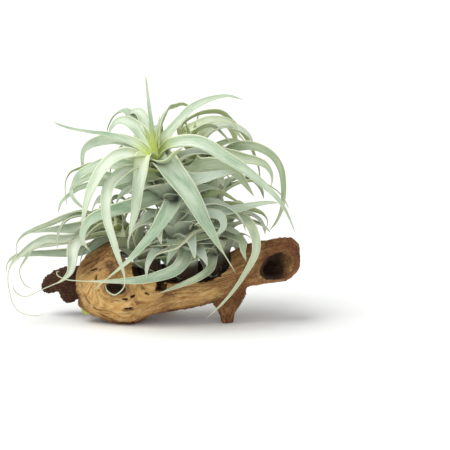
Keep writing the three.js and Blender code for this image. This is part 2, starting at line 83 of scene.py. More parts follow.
camera = placed("front_camera", bpy.data.cameras.new("front_camera"))
camera.data.lens = LENS
camera.data.sensor_width = SENSOR
ahead = Vector((0, math.cos(VIEW_ELEVATION), -math.sin(VIEW_ELEVATION)))
aim = Vector(seen(*FRAME_CENTRE, VIEW_PLANE_DEPTH)) * MM
camera.location = aim - ahead * (FRAME_WIDTH * LENS / SENSOR)
camera.rotation_euler = pointing(ahead)
bpy.context.scene.camera = camera

# The light. A white room: a broad soft light high up at the left and front, an even white all round, and a
# pale floor that is as white as the room far behind it.
ROOM_LIGHT = 0.55
# each lamp: where its light comes from, its width in degrees, and its strength
LAMPS = {"soft_window": ((-0.5, -0.15, 1.0), 46, 2.25), "weak_fill": ((0.2, -1.0, 0.45), 60, 0.66)}
# the floor reaches 40 m, and lies just under the plant so that the two never share a face
FLOOR_RADIUS = 40
FLOOR_DROP = 0.4 * MM


def linear(hex_colour):
    """An sRGB hex colour as linear red, green, blue and alpha."""
    parts = [int(hex_colour[i:i + 2], 16) / 255 for i in (1, 3, 5)]
    return tuple(c / 12.92 if c <= 0.04045 else ((c + 0.055) / 1.055) ** 2.4 for c in parts) + (1.0,)


def add(tree, kind, inputs=(), output=0, **settings):
    """Adds a node with its settings, and its inputs by place or by name, each a value or a socket that is
    linked. Gives the output that is asked for, or the node if it has none."""
    made = tree.nodes.new(kind)
    for name, value in settings.items():
        setattr(made, name, value)
    for name, value in inputs.items() if isinstance(inputs, dict) else enumerate(inputs):
        if isinstance(value, bpy.types.NodeSocket):
            tree.links.new(value, made.inputs[name])
        else:
            made.inputs[name].default_value = value
    return made.outputs[output] if made.outputs else made


def material(name, constants):
    """A new material with its tree, and its Principled shader with what is the same all over."""
    made = bpy.data.materials.new(name)
    made.use_nodes = True
    shader = made.node_tree.nodes["Principled BSDF"]
    for socket, value in constants.items():
        shader.inputs[socket].default_value = value
    return made, made.node_tree, shader


def mesh_from(shell, name):
    """A mesh made from a bmesh, which is freed."""
    made = bpy.data.meshes.new(name)
    shell.to_mesh(made)
    shell.free()
    return made


world = bpy.data.worlds.new("white_room")
bpy.context.scene.world = world
world.use_nodes = True
room = world.node_tree.nodes["Background"]
room.inputs["Color"].default_value = linear("#f8fbff")
in_sight = add(world.node_tree, "ShaderNodeLightPath", output="Is Camera Ray")
strength = add(world.node_tree, "ShaderNodeMapRange", {"Value": in_sight, "To Min": ROOM_LIGHT})
world.node_tree.links.new(strength, room.inputs["Strength"])
bpy.context.scene.view_settings.view_transform = "Standard"
for name, (source, width, energy) in LAMPS.items():
    lamp = placed(name, bpy.data.lights.new(name, "SUN"))
    lamp.data.angle = math.radians(width)
    lamp.data.energy = energy
    lamp.rotation_euler = pointing(-Vector(source))

shell = bmesh.new()
under = Matrix.Translation((0, 0, -FLOOR_DROP))
bmesh.ops.create_circle(shell, cap_ends=True, radius=FLOOR_RADIUS, segments=96, matrix=under)
floor = placed("floor", mesh_from(shell, "floor"))
floor.data.materials.append(material("matt_white_floor", {
    "Base Color": linear("#f5f5f2"), "Roughness": 0.9, "Specular IOR Level": 0.1})[0])

# The log. One piece of old grapevine wood: a knob with a knot hole at the left, an open trough, a raised
# and hollow right end. It was cut, dried and sandblasted, which leaves twisted ridges of hard grain.
# All its places and sizes are in millimetres.
WOOD_VOXEL = 0.95
WOOD_SOFTENING = 14
# its hollows: place, radii, and tilt in degrees
KNOT_HOLE = (seen(-11.5, 36, -33), (10, 13, 5.5), 8)
SMALL_KNOT = (seen(-18, 59, -30), (4, 9, 4), 0)
END_HOLLOW = (seen(148, 58, -27), (20, 24, 13), -24)
END_HOLLOW_BACK = (seen(134, 55, -6), (20, 12, 9), -10)
# the trough lies round an axis along the log
TROUGH_FROM = 3
TROUGH_TO = 106
TROUGH_DEPTH = -1
TROUGH_LEVEL = 51
TROUGH_RADIUS = 25
LEG = (100, -10)
# its lower and upper edge along its length: places across, and their heights
UNDERSIDE_OF_LOG = ((-53, -48, -43, -31, -18, 9, 43, 75, 100, 123, 156, 174),
                    (30, 18, 10, 3, 0, 0, 11, 17, 28, 38, 42, 57))
RIDGE_OF_LOG = ((-53, -17, 9, 75, 100, 123, 156, 174), (50, 80, 59, 62, 67, 77, 84, 76))
# what the real one has more of than the plain solid
KNOB_SWELL = 8.5
KNOB_SWELL_LEVEL = 12
BRANCH_LENGTHENING = 6
BRANCH_DROOP = 3.5
BRANCH_LOBE = 1.6
BRANCH_LOBE_AT = -64
# rounds of evening out where the branch joins the knob, and how far the end hollow's mouth is moved
FOOT_SMOOTHING = 220
END_SHIFT = 5
# pits and checks in the knob's face, sunk and painted dark as their shade: place, radii and tilt
PITS = [(seen(-1.7, 25.5, -33), (3, 8, 0.9), 4), (seen(5.8, 28.3, -33), (2.6, 8, 1.3), -24),
        (seen(1.3, 15.8, -32), (3.4, 8, 1.1), -12), (seen(15, 37, -32), (3.6, 6, 1.8), 10),
        (seen(-20, 59, -31), (3.2, 9, 2.2), 0), (seen(-27, 55, -29), (1.2, 7, 4), 24),
        (seen(-31, 47, -28), (1, 7, 3.4), 18), (seen(20, 31, -32), (2.8, 6, 0.9), 20),
        (seen(-34, 55, -24), (4.2, 8, 0.9), -16), (seen(-24, 68, -24), (0.9, 8, 6), 8),
        (seen(-15, 71, -24), (1, 8, 3), -14), (seen(-31, 65, -20), (4.4, 8, 0.9), -38),
        (seen(-40, 24, -16), (0.9, 9, 7), -24), (seen(-26, 9, -20), (6, 9, 0.9), 28)]
# the grain: it runs 18 times as far along the log as across, and winds a little as it goes
GRAIN_STRETCH = 0.055
GRAIN_ROWS = 60
TWIST = 3.5
TWIST_LENGTH = 23
# how many there are to a millimetre, of the relief's parts and then of the colour's
RIDGES_PER_MM = 0.34
FOLDS_PER_MM = 0.11
GNARLS_PER_MM = 0.052
CRACKS_PER_MM = 0.15
STREAKS_PER_MM = 0.5
SEAMS_PER_MM = 0.17
FIBRES_PER_MM = 1.6
PATCHES_PER_MM = 0.04
# the wood's tones from its creases to its ridges: where along the streaks, and the colour
WOOD_TONES = {
    "young": ((0.26, "#a36b37"), (0.38, "#cd9958"), (0.5, "#dcb26e"), (0.68, "#ecce93")),
    "old": ((0.28, "#3a1e10"), (0.42, "#663a21"), (0.56, "#905a33"), (0.7, "#bb8551")),
    "dead": ((0.3, "#1c0f0a"), (0.48, "#43281c"), (0.68, "#74503a")),
}


def settle(piece):
    """Turns what an object's modifiers make into its own plain mesh, with all its layers."""
    graph = bpy.context.evaluated_depsgraph_get()
    result = bpy.data.meshes.new_from_object(
        piece.evaluated_get(graph), preserve_all_data_layers=True, depsgraph=graph)
    piece.modifiers.clear()
    piece.data = result


def smooth(value, low, high):
    """Rises smoothly from 0 at low to 1 at high. It falls where low is the greater."""
    t = np.clip((value - low) / (high - low), 0, 1)
    return t * t * (3 - 2 * t)


def bell(value, middle, extent):
    """Rises to 1 at the middle and falls off on both sides."""
    return np.exp(-((value - middle) / extent) ** 2)


def out_of(points, centre, radii, tilt):
    """How far out of a tilted ellipsoid points lie: 1 on its surface. A negative tilt lifts its right end."""
    across, deep, up = (points - centre).T
    cosine, sine = math.cos(math.radians(tilt)), math.sin(math.radians(tilt))
    turned = np.stack([across * cosine - up * sine, deep, across * sine + up * cosine], axis=1)
    return np.linalg.norm(turned / np.array(radii), axis=1)


def store(mesh, name, values):
    """Writes numbers or vectors as a point attribute."""
    kind, field = ("FLOAT", "value") if values.ndim == 1 else ("FLOAT_VECTOR", "vector")
    layer = mesh.attributes.new(name, kind, "POINT")
    layer.data.foreach_set(field, values.ravel().astype(np.float32))


def points_of(mesh, field="co"):
    """The places of a mesh's vertices, or their normals."""
    places = np.empty(len(mesh.vertices) * 3)
    mesh.vertices.foreach_get(field, places)
    return places.reshape(-1, 3)


def move_points(mesh, places):
    """Moves a mesh's vertices to new places."""
    mesh.vertices.foreach_set("co", places.ravel())
    mesh.update()


rough = bmesh.new()
rough.from_mesh(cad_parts["grapewood_log"].data)
bmesh.ops.remove_doubles(rough, verts=rough.verts, dist=0.02 * MM)
log = placed("weathered_log", mesh_from(rough, "log_rough"))
remesh = log.modifiers.new("even_skin", "REMESH")
remesh.mode = "VOXEL"
remesh.voxel_size = WOOD_VOXEL * MM
log.modifiers.new("soften", "SMOOTH").iterations = WOOD_SOFTENING
settle(log)

# x, y and z are columns of p, so that a change to one of them changes p
p = points_of(log.data) / MM
x, y, z = p.T

# the knob is fuller low at its left than the plain solid, and the old branch longer, with a lobe below
swell = KNOB_SWELL * bell(z, KNOB_SWELL_LEVEL, 11) * smooth(-x, 8, 36) * smooth(z, 0, 8)
swell *= smooth(y, 14, -2) * smooth(-x, 56, 46)
lobe = BRANCH_DROOP + BRANCH_LOBE * bell(x, BRANCH_LOBE_AT, 4.5)
z -= lobe * smooth(-x, 54, 61) * smooth(z, 48, 28)
x -= swell + BRANCH_LENGTHENING * smooth(-x, 54, 76)

# the branch grows out of the knob's back without a step: the spots round its foot are evened out
near = 0.8 * smooth(-x, 12, 24) * smooth(-x, 52, 40) * smooth(y, 4, 14) * smooth(z, 62, 52)
ends = np.empty(len(log.data.edges) * 2, int)
log.data.edges.foreach_get("vertices", ends)
ends = ends.reshape(-1, 2)
ends = ends[near[ends].max(axis=1) > 0]
first, second = np.concatenate([ends, ends[:, ::-1]]).T
neighbours = np.maximum(np.bincount(first, minlength=len(p)), 1)
for _ in range(FOOT_SMOOTHING):
    mean = np.stack([np.bincount(first, p[second, k], len(p)) for k in range(3)], axis=1)
    p += (mean / neighbours[:, None] - p) * near[:, None]
move_points(log.data, p * MM)

# how deep a spot lies in the trough, the end hollow or a knot hole, and the painted shade laid there: 1 well
# inside, 0 on the outside; in the end hollow the painted shade is deep at its left and slight on its right
# inner wall, where light falls
_, normal_y, normal_z = points_of(log.data, "normal").T
from_axis = np.hypot(y - TROUGH_DEPTH, z - TROUGH_LEVEL)
inward = -((y - TROUGH_DEPTH) * normal_y + (z - TROUGH_LEVEL) * normal_z) / from_axis
in_trough = smooth(from_axis, TROUGH_RADIUS + 4, TROUGH_RADIUS + 0.5) * smooth(inward, -0.5, 0.1)
in_trough *= smooth(x, TROUGH_FROM - 3, TROUGH_FROM + 1) * smooth(x, TROUGH_TO + 3, TROUGH_TO - 1)
end_reach = np.minimum(out_of(p, *END_HOLLOW), out_of(p, *END_HOLLOW_BACK))
knot_reach = out_of(p, *KNOT_HOLE)
small_reach = out_of(p, *SMALL_KNOT)
in_end = smooth(end_reach, 1.1, 1.03)
end_left = smooth(x, 162, 146)
hollow = np.maximum.reduce([
    0.8 * in_trough, in_end * (0.1 + 0.83 * end_left), 0.95 * smooth(knot_reach, 1.25, 1.02),
    0.45 * smooth(small_reach, 1.3, 1.02)])
rim = np.maximum.reduce([
    bell(end_reach, 1.25, 0.16), bell(knot_reach, 1.35, 0.3), bell(small_reach, 1.4, 0.4),
    0.7 * bell(in_trough, 0.4, 0.3)])
branch = np.maximum(smooth(-x, 34, 56) * smooth(y, 4, 16), smooth(-x, 54, 58))
pit = np.maximum.reduce([smooth(out_of(p, *spot), 1.25, 0.75) for spot in PITS])

# how dark the wood is, with age and with painted shade: palest on the knob's face and darker along the
# trough to the raised right end, where it is partly painted shade, then darker towards the underside, the
# peak over the knob, the broken leg's tip, the old branch and the back
bottom = np.interp(x, *UNDERSIDE_OF_LOG)
ridge = np.interp(x, *RIDGE_OF_LOG)
from_leg = np.hypot(x - LEG[0], y - LEG[1])
age_and_shade = np.maximum.reduce([
    0.32 * smooth(x, 12, 48) + 0.36 * smooth(x, 84, 122) + 0.2 * smooth(x, 140, 168),
    0.85 * smooth(z - bottom, 10, 1), 0.4 * smooth(z, 46, 66) * smooth(x, 12, 0),
    0.8 * smooth(from_leg, 22, 12) * smooth(z, 24, 8), 0.95 * branch, 0.35 * smooth(y, 4, 26)])
# painted light: the end hollow's right inner wall is made paler, where light falls into it
age_and_shade -= 0.34 * in_end * (1 - end_left)

# the way the grain runs: along the log, round the knot hole and the end hollow, and down the leg and foot
twist = TWIST * np.sin(x / TWIST_LENGTH)
row = GRAIN_ROWS * (z - bottom) / (ridge - bottom)
grain = np.stack([x * GRAIN_STRETCH, y + twist, row - twist], axis=1)
for (centre, _, _), extent in ((KNOT_HOLE, 34), (END_HOLLOW, 24)):
    beside, above = x - centre[0], 1.5 * (z - centre[2])
    from_knot, turn = np.hypot(beside, above), np.arctan2(above, beside)
    swirl = np.stack([2.2 * np.cos(turn), y * 0.8, from_knot + 2.2 * np.sin(turn)], axis=1)
    grain += (swirl - grain) * (bell(from_knot, 0, extent) * smooth(-y, -2, 12))[:, None]
upright = np.maximum(smooth(from_leg, 20, 12) * smooth(z, 38, 24), smooth(y, 26, 34) * smooth(z, 26, 16))
down = np.stack([x, y, z * 0.12], axis=1)
grain += (down - grain) * upright[:, None]

# where the mouth of the end hollow is moved towards the tip
mouth = smooth(x, 112, 130) * smooth(x, 168, 148) * smooth(-y, -6, 4)

# the ridges are lower where the wood is young, and the gnarls higher on the branch
for name, values in {
    "grain": grain, "hollow": hollow, "rim": rim * (1 - hollow), "age_and_shade": age_and_shade, "pit": pit, "branch": branch,
    "worn": np.interp(age_and_shade, (0, 0.4), (0.45, 1)), "gnarled": 1 + branch,
}.items():
    store(log.data, name, values)


def geometry_tree(name, sizes):
    """A new Geometry Nodes tree whose inputs are a mesh, named sizes and a material, and those inputs."""
    tree = bpy.data.node_groups.new(name, "GeometryNodeTree")
    tree.interface.new_socket("Geometry", in_out="INPUT", socket_type="NodeSocketGeometry")
    for size, value in sizes.items():
        socket = tree.interface.new_socket(size, in_out="INPUT", socket_type="NodeSocketFloat")
        socket.default_value = value
    tree.interface.new_socket("Material", in_out="INPUT", socket_type="NodeSocketMaterial")
    tree.interface.new_socket("Geometry", in_out="OUTPUT", socket_type="NodeSocketGeometry")
    return tree, add(tree, "NodeGroupInput").node.outputs


def close_tree(tree, geometry, offset, finish):
    """Ends a tree: moves its points by an offset, and gives one smooth mesh with its material."""
    for kind, inputs in [
        ("GeometryNodeSetPosition", {"Offset": offset}), ("GeometryNodeSetShadeSmooth", {}),
        ("GeometryNodeRealizeInstances", {}), ("GeometryNodeSetMaterial", {"Material": finish}),
        ("NodeGroupOutput", {}),
    ]:
        geometry = add(tree, kind, {"Geometry": geometry, **inputs})


def run_tree(piece, tree, finish):
    """Runs a tree on an object with a material, and keeps the result as its plain mesh."""
    step = piece.modifiers.new(tree.name, "NODES")
    step.node_group = tree
    identifiers = {item.name: item.identifier for item in tree.interface.items_tree}
    step[identifiers["Material"]] = finish
    settle(piece)


# the inputs of a noise texture, in the order in which its values are given
NOISE = ("Vector", "Scale", "Detail", "Roughness", "Distortion")

# The tree that raises the ridges, folds and gnarls along the grain, and sinks the cracks and pits.
tree, sizes = geometry_tree("sandblasted_relief", {
    "Ridge height": 0.8 * MM, "Fold height": 4.2 * MM, "Gnarl height": 2.4 * MM, "Crack depth": 1.5 * MM,
    "Pit depth": 3.4 * MM})
relief = tree
read = {name: add(tree, "GeometryNodeInputNamedAttribute", {"Name": name}, "Attribute", data_type="FLOAT")
        for name in ("worn", "gnarled", "pit")}
flow = add(tree, "GeometryNodeInputNamedAttribute", {"Name": "grain"}, "Attribute", data_type="FLOAT_VECTOR")
place = add(tree, "GeometryNodeInputPosition")
ridges, folds, gnarls = (
    add(tree, "ShaderNodeMath", [add(tree, "ShaderNodeTexNoise", dict(zip(NOISE, values))), 0.5],
        operation="SUBTRACT")
    for values in ((flow, RIDGES_PER_MM, 3.0, 0.6, 0.5), (flow, FOLDS_PER_MM, 2.0, 0.5, 0.8),
                   (place, GNARLS_PER_MM / MM, 2.0)))
creases = add(tree, "ShaderNodeMath", [ridges], operation="ABSOLUTE")
cells = add(tree, "ShaderNodeTexVoronoi", {"Vector": flow, "Scale": CRACKS_PER_MM},
            feature="DISTANCE_TO_EDGE")
ridges = add(tree, "ShaderNodeMapRange", [creases, 0.0, 0.11, -1.0, 0.35], interpolation_type="SMOOTHSTEP")
cracks = add(tree, "ShaderNodeMapRange", [cells, 0.0, 0.06, -1.0, 0.0], interpolation_type="SMOOTHSTEP")
height = 0.0
for pattern, share, size in [
    (ridges, read["worn"], "Ridge height"), (folds, 1.0, "Fold height"),
    (gnarls, read["gnarled"], "Gnarl height"), (cracks, 1.0, "Crack depth"), (read["pit"], -1.0, "Pit depth"),
]:
    share = add(tree, "ShaderNodeMath", [share, sizes[size]], operation="MULTIPLY")
    height = add(tree, "ShaderNodeMath", [pattern, share, height], operation="MULTIPLY_ADD")
normal = add(tree, "GeometryNodeInputNormal")
push = add(tree, "ShaderNodeVectorMath", {0: normal, "Scale": height}, operation="SCALE")
kept = add(tree, "GeometryNodeStoreNamedAttribute", {
    "Geometry": sizes["Geometry"], "Name": "relief", "Value": height}, data_type="FLOAT")
close_tree(tree, kept, push, sizes["Material"])


def layered(tree, colour, layers):
    """Lays colours over a colour. Each layer is its colour, and what its cover is the product of: a value,
    and where it is read through a range, the range's ends and the cover at each of them."""
    for tone, *parts in layers:
        cover = 1.0
        for value, *limits in parts:
            if limits:
                value = add(tree, "ShaderNodeMapRange", [value, *limits])
            cover = add(tree, "ShaderNodeMath", [value, cover], operation="MULTIPLY")
        tone = linear(tone) if isinstance(tone, str) else tone
        colour = add(tree, "ShaderNodeMix", {0: cover, 6: colour, 7: tone}, 2, data_type="RGBA")
    return colour


def dress(tree, shader, colour, height, strength, depth):
    """Gives a shader its colour, and a relief that is too fine to model."""
    tree.links.new(colour, shader.inputs["Base Color"])
    bump = add(tree, "ShaderNodeBump", {"Height": height, "Strength": strength, "Distance": depth})
    tree.links.new(bump, shader.inputs["Normal"])


# Sandblasted grapewood, dry and unfinished: cream and golden tan ridges over brown creases with a painted
# shade deep in them, darker and greyer brown with age, darker towards the underside, reddish round the
# knots, painted shade nearly black in the hollows and pits, painted light on the end hollow's right wall,
# and quite matt.
weathered, tree, shader = material("sandblasted_grapewood", {"Roughness": 0.78, "Specular IOR Level": 0.3})
read = {name: add(tree, "ShaderNodeAttribute", output="Fac", attribute_name=name)
        for name in ("age_and_shade", "relief", "rim", "branch", "pit", "hollow")}
flow = add(tree, "ShaderNodeAttribute", output="Vector", attribute_name="grain")
place = add(tree, "ShaderNodeTexCoord", output="Object")
streaks, seams, fibres, patches = (
    add(tree, "ShaderNodeTexNoise", dict(zip(NOISE, values)))
    for values in ((flow, STREAKS_PER_MM, 5.0, 0.65, 0.8), (flow, SEAMS_PER_MM, 3.0, 0.55, 1.2),
                   (flow, FIBRES_PER_MM, 4.0, 0.7), (place, PATCHES_PER_MM / MM, 4.0)))
wood = {}
for years, tones in WOOD_TONES.items():
    wood[years] = add(tree, "ShaderNodeValToRGB", [streaks])
    stops = wood[years].node.color_ramp.elements
    stops.remove(stops[1])
    for spot, tone in tones:
        stops.new(spot).color = linear(tone)
    stops.remove(stops[0])
patches = add(tree, "ShaderNodeMapRange", [patches, 0.35, 0.7, -0.22, 0.4])
aged_and_shaded = add(tree, "ShaderNodeMath", [read["age_and_shade"], patches], operation="ADD")
seams = add(tree, "ShaderNodeMath", [seams, 0.5], operation="SUBTRACT")
seams = add(tree, "ShaderNodeMath", [seams], operation="ABSOLUTE")
colour = layered(tree, wood["young"], [
    # old wood, then a painted shade on what lies deep in the relief, and dark seams between the growth
    # layers, 1 mm wide
    (wood["old"], (aged_and_shaded, 0.0, 1.0, 0.0, 1.0)),
    ("#3d2515", (read["relief"], -0.9 * MM, -3 * MM, 0.0, 0.85)),
    ("#5d351c", (seams, 0.006, 0.034, 1.0, 0.0), (aged_and_shaded, 0.1, 0.5, 0.14, 0.75)),
    # the rims of the hollows, the old branch, then painted shade in the pits and in the hollows
    ("#7d5238", (read["rim"], 0.0, 1.0, 0.0, 0.55)),
    (wood["dead"], (read["branch"], 0.0, 1.0, 0.0, 0.9)),
    ("#3a2316", (read["pit"], 0.0, 1.0, 0.0, 0.95)),
    ("#281a11", (read["hollow"],)),
])
rough_skin = add(tree, "ShaderNodeMath", [streaks, 0.8, fibres], operation="MULTIPLY_ADD")
dress(tree, shader, colour, rough_skin, 0.8, 1.1 * MM)

run_tree(log, relief, weathered)
p = points_of(log.data)
p[:, 0] += END_SHIFT * MM * mouth
move_points(log.data, np.clip(p, *np.array(cad_box)))
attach(log, "root")
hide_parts("grapewood_log")

# A young bud low at the knob's left: a side shoot of the plant that has only begun. It is yellow green, of
# a few short scales, and grown against the wood.
# its scales: place, radii, and how far each leans
BUD_SCALES = [((-43.5, 16, -8), (5, 5, 4.4), 0.5), ((-44.5, 13.5, -10), (3.4, 4, 4.2), 0.2),
              ((-40.5, 12.5, -13), (4, 3, 3.6), -0.3)]
bud_leaf, tree, shader = material("young_bud_scales", {"Roughness": 0.6})
place = add(tree, "ShaderNodeTexCoord", output="Object")
# fine lines that run up the scales, about 1 mm apart
lines = add(tree, "ShaderNodeMapping", {"Vector": place, "Scale": (900.0, 900.0, 160.0)})
lines = add(tree, "ShaderNodeTexNoise", dict(zip(NOISE, (lines, 1.0, 2.0))))
colour = layered(tree, linear("#8c9440"), [("#c3c56d", (lines, 0.3, 0.7, 0.0, 1.0))])
tree.links.new(colour, shader.inputs["Base Color"])
shell = bmesh.new()
for spot, radii, lean in BUD_SCALES:
    place = Matrix.Translation(Vector(seen(*spot)) * MM) @ Matrix.Rotation(lean, 4, "Y")
    place = place @ Matrix.Diagonal([size * MM for size in radii] + [1.0])
    bmesh.ops.create_icosphere(shell, subdivisions=4, radius=1.0, matrix=place)
bud = placed("young_bud", mesh_from(shell, "young_bud"))
bud.data.shade_smooth()
bud.data.materials.append(bud_leaf)
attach(bud, "root")

# The stems. Each of the plant's three shoots has an old woody stem that stands in the trough. Its lower
# leaves have dried, and their papery bases are left wrapped round it in a spiral.
# Sizes are in millimetres, and spots are given as seen from the front.
SLOTS = {"main": "mint_leaf", "right": "olive_leaf", "left": "blue_grey_leaf"}
# rows of leaf bases up a stem, spirals of them round it, and how far one stands out as a share of the radius
BASE_ROWS = 13
BASE_SPIRALS = 3
BASE_STEP = 0.12
STEM_SIDES = 28
STEM_RINGS = 90
STEM_POINTS = 401
# the share of its length to each side of a spot over which a stem's direction is taken
STEM_SPAN = 0.004
# each stem: its spots, and its radii at even steps
STEMS = {
    "main": ([(58, 24, 6), (57, 55, 5), (54, 85, 2), (47, 115, -7), (38, 142, -18), (29, 164, -26)],
             (9, 10, 10.5, 10, 9, 6.5)),
    "right": ([(90, 36, 8), (91, 64, 14), (89, 95, 20), (83, 130, 23), (74, 158, 19), (64, 178, 13)],
              (8, 8.5, 9, 8.5, 7.5, 5)),
    "left": ([(26, 24, 8), (21, 58, 15), (9, 80, 18), (-4, 93, 14), (-17, 100, 8)],
             (7.5, 8, 8, 7, 5)),
}


def through(spots, shares):
    """Places on the centripetal Catmull-Rom curve through the spots, at shares of its count of spans."""
    spots = np.asarray(spots, float)
    last = len(spots) - 1
    line = np.vstack([2 * spots[0] - spots[1], spots, 2 * spots[-1] - spots[-2]])
    whole = np.minimum(np.floor(shares * last).astype(int), last - 1)
    t = (shares * last - whole)[:, None]
    p0, p1, p2, p3 = (line[whole + k] for k in range(4))
    d0, d1, d2 = (np.sqrt(np.linalg.norm(b - a, axis=1))[:, None] for a, b in ((p0, p1), (p1, p2), (p2, p3)))
    leave = ((p1 - p0) / d0 - (p2 - p0) / (d0 + d1) + (p2 - p1) / d1) * d1
    arrive = ((p2 - p1) / d1 - (p3 - p1) / (d1 + d2) + (p3 - p2) / d2) * d1
    return (p1 + leave * t + (3 * (p2 - p1) - 2 * leave - arrive) * t ** 2
            + (2 * (p1 - p2) + leave + arrive) * t ** 3)


def unit(vector):
    """A vector of length 1."""
    return vector / np.linalg.norm(vector)


def upright_to(axis, heading):
    """The part of a heading that stands at right angles to an axis."""
    return unit(heading - (heading @ axis) * axis)


def travelled_along(line):
    """How far along a line of points each of them lies."""
    return np.concatenate([[0], np.cumsum(np.linalg.norm(np.diff(line, axis=0), axis=1))])


class Stem:
    """A stem's curve, with places, directions and radii by the share of its length."""

    def __init__(self, spots, radii):
        self.line = through([seen(*spot) for spot in spots], np.linspace(0, 1, STEM_POINTS))
        travelled = travelled_along(self.line)
        self.length = travelled[-1]
        self.travelled = travelled / self.length
        self.radii = radii

    def at(self, share):
        return np.array([np.interp(share, self.travelled, self.line[:, k]) for k in range(3)])

    def along(self, share):
        return unit(self.at(min(share + STEM_SPAN, 1)) - self.at(max(share - STEM_SPAN, 0)))

    def radius(self, share):
        return np.interp(share, np.linspace(0, 1, len(self.radii)), self.radii)


def tube(rings, sides, base=0):
    """The faces of a closed tube of rings of points, then those of its two ends."""
    last = base + (rings - 1) * sides
    faces = [(start + k, start + j, start + sides + j, start + sides + k)
             for start in range(base, last, sides) for k, j in zip(range(sides), (*range(1, sides), 0))]
    return faces + [tuple(range(base + sides - 1, base - 1, -1)), tuple(range(last, last + sides))]


def stem_mesh(name, stem):
    """An old stem, wrapped in a spiral of papery leaf bases that overlap upwards."""
    places = []
    side = np.array([1.0, 0, 0])
    part = np.arange(STEM_SIDES) / STEM_SIDES
    turn = (2 * math.pi * part)[:, None]
    for share in np.arange(STEM_RINGS + 1) / STEM_RINGS:
        axis = stem.along(share)
        side = upright_to(axis, side)
        scale = (share * BASE_ROWS + BASE_SPIRALS * part) % 1.0
        reach = stem.radius(share) * (1 - BASE_STEP + BASE_STEP * scale) * (1 - 0.5 * smooth(share, 0.96, 1))
        round_it = np.cos(turn) * side + np.sin(turn) * np.cross(axis, side)
        places.append(stem.at(share) + reach[:, None] * round_it)
    made = bpy.data.meshes.new(name)
    made.from_pydata(np.concatenate(places) * MM, [], tube(STEM_RINGS + 1, STEM_SIDES))
    made.shade_smooth()
    return made


# Old leaf bases: dull grey green, of long dry fibres, going brown and papery low down.
papery, tree, shader = material("papery_leaf_bases", {"Roughness": 0.75})
place = add(tree, "ShaderNodeTexCoord", output="Object")
height = add(tree, "ShaderNodeSeparateXYZ", [place], "Z")
fibres = add(tree, "ShaderNodeMapping", {"Vector": place, "Scale": (700.0, 700.0, 90.0)})
fibres = add(tree, "ShaderNodeTexNoise", dict(zip(NOISE, (fibres, 1.0, 3.0))))
colour = layered(tree, linear("#6b7863"), [
    ("#a8b29a", (fibres,)),
    ("#4d3524", (height, 90 * MM, 50 * MM, 0.0, 1.0)),
])
dress(tree, shader, colour, fibres, 0.6, 0.5 * MM)

stems = {name: Stem(*shape) for name, shape in STEMS.items()}
for name, stem in stems.items():
    stalk = placed(name + "_stem", stem_mesh(name + "_stem", stem))
    stalk.data.materials.append(papery)
    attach(stalk, "root")
    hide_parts(name + "_shoot")

# The leaves. They grow on the stems in a spiral, long and channelled, broad where they clasp the stem,
# tapering to a thread, and curling over. The youngest stand in a chartreuse head at the stem's end.
# Sizes are in millimetres, and spots are given as seen from the front.
SEEDS = {"main": 11, "right": 23, "left": 37}
BLADE_THICKNESS = 1.0
TAIL_WIDTH = 1.1
TAIL_THICKNESS = 0.85
TAPER = 1.5
BREADTH = 1.2
ROOT_NARROWING = 0.6
TIP_FROM = 0.93
TIP_CLOSING = 0.8
# how a blade turns to the viewer: its upper side, or its back
FACING = 0.95
UNDERSIDE = -0.8
# how far a blade rolls to one side and sways, in radians
ROLL = 0.28
SWAY = 0.14
SWAYS_IN_LENGTH = 1.3
CHANNEL_AT_BASE = 0.34
CHANNEL_AT_TIP = 0.08
CLASP_LENGTH = 16
CLASP_BEND = 1.5
CLASP_LEAN = 2.8
CLASP_GAP = 0.7
CLASP_ROOM = 2.0
GOLDEN_ANGLE = math.radians(137.5)
ROUTE_POINTS = 300
STATION_STEP = 2.6
FEWEST_STATIONS = 8
# the green glow of the heart, its own chartreuse made paler as a painted light for the light that shines
# through the young leaves: how far beyond the stem's end it lies, its extent and its strength
HEART_BEYOND = 4
HEART_EXTENT = 17
HEART_GLOW = 0.85
HEART_GREEN = {"main": 1.0, "right": 0.6, "left": 0.45}
VIEWER = np.array([0, -math.cos(VIEW_ELEVATION), math.sin(VIEW_ELEVATION)])
# the leaves' tones: light, deep and the back's
LEAF_TONES = {"main": ("#d0dcc0", "#7a9b76", "#a3b078"), "right": ("#c6ceab", "#80966c", "#a6b27a"),
              "left": ("#bbc5a7", "#70846a", "#8e9970")}

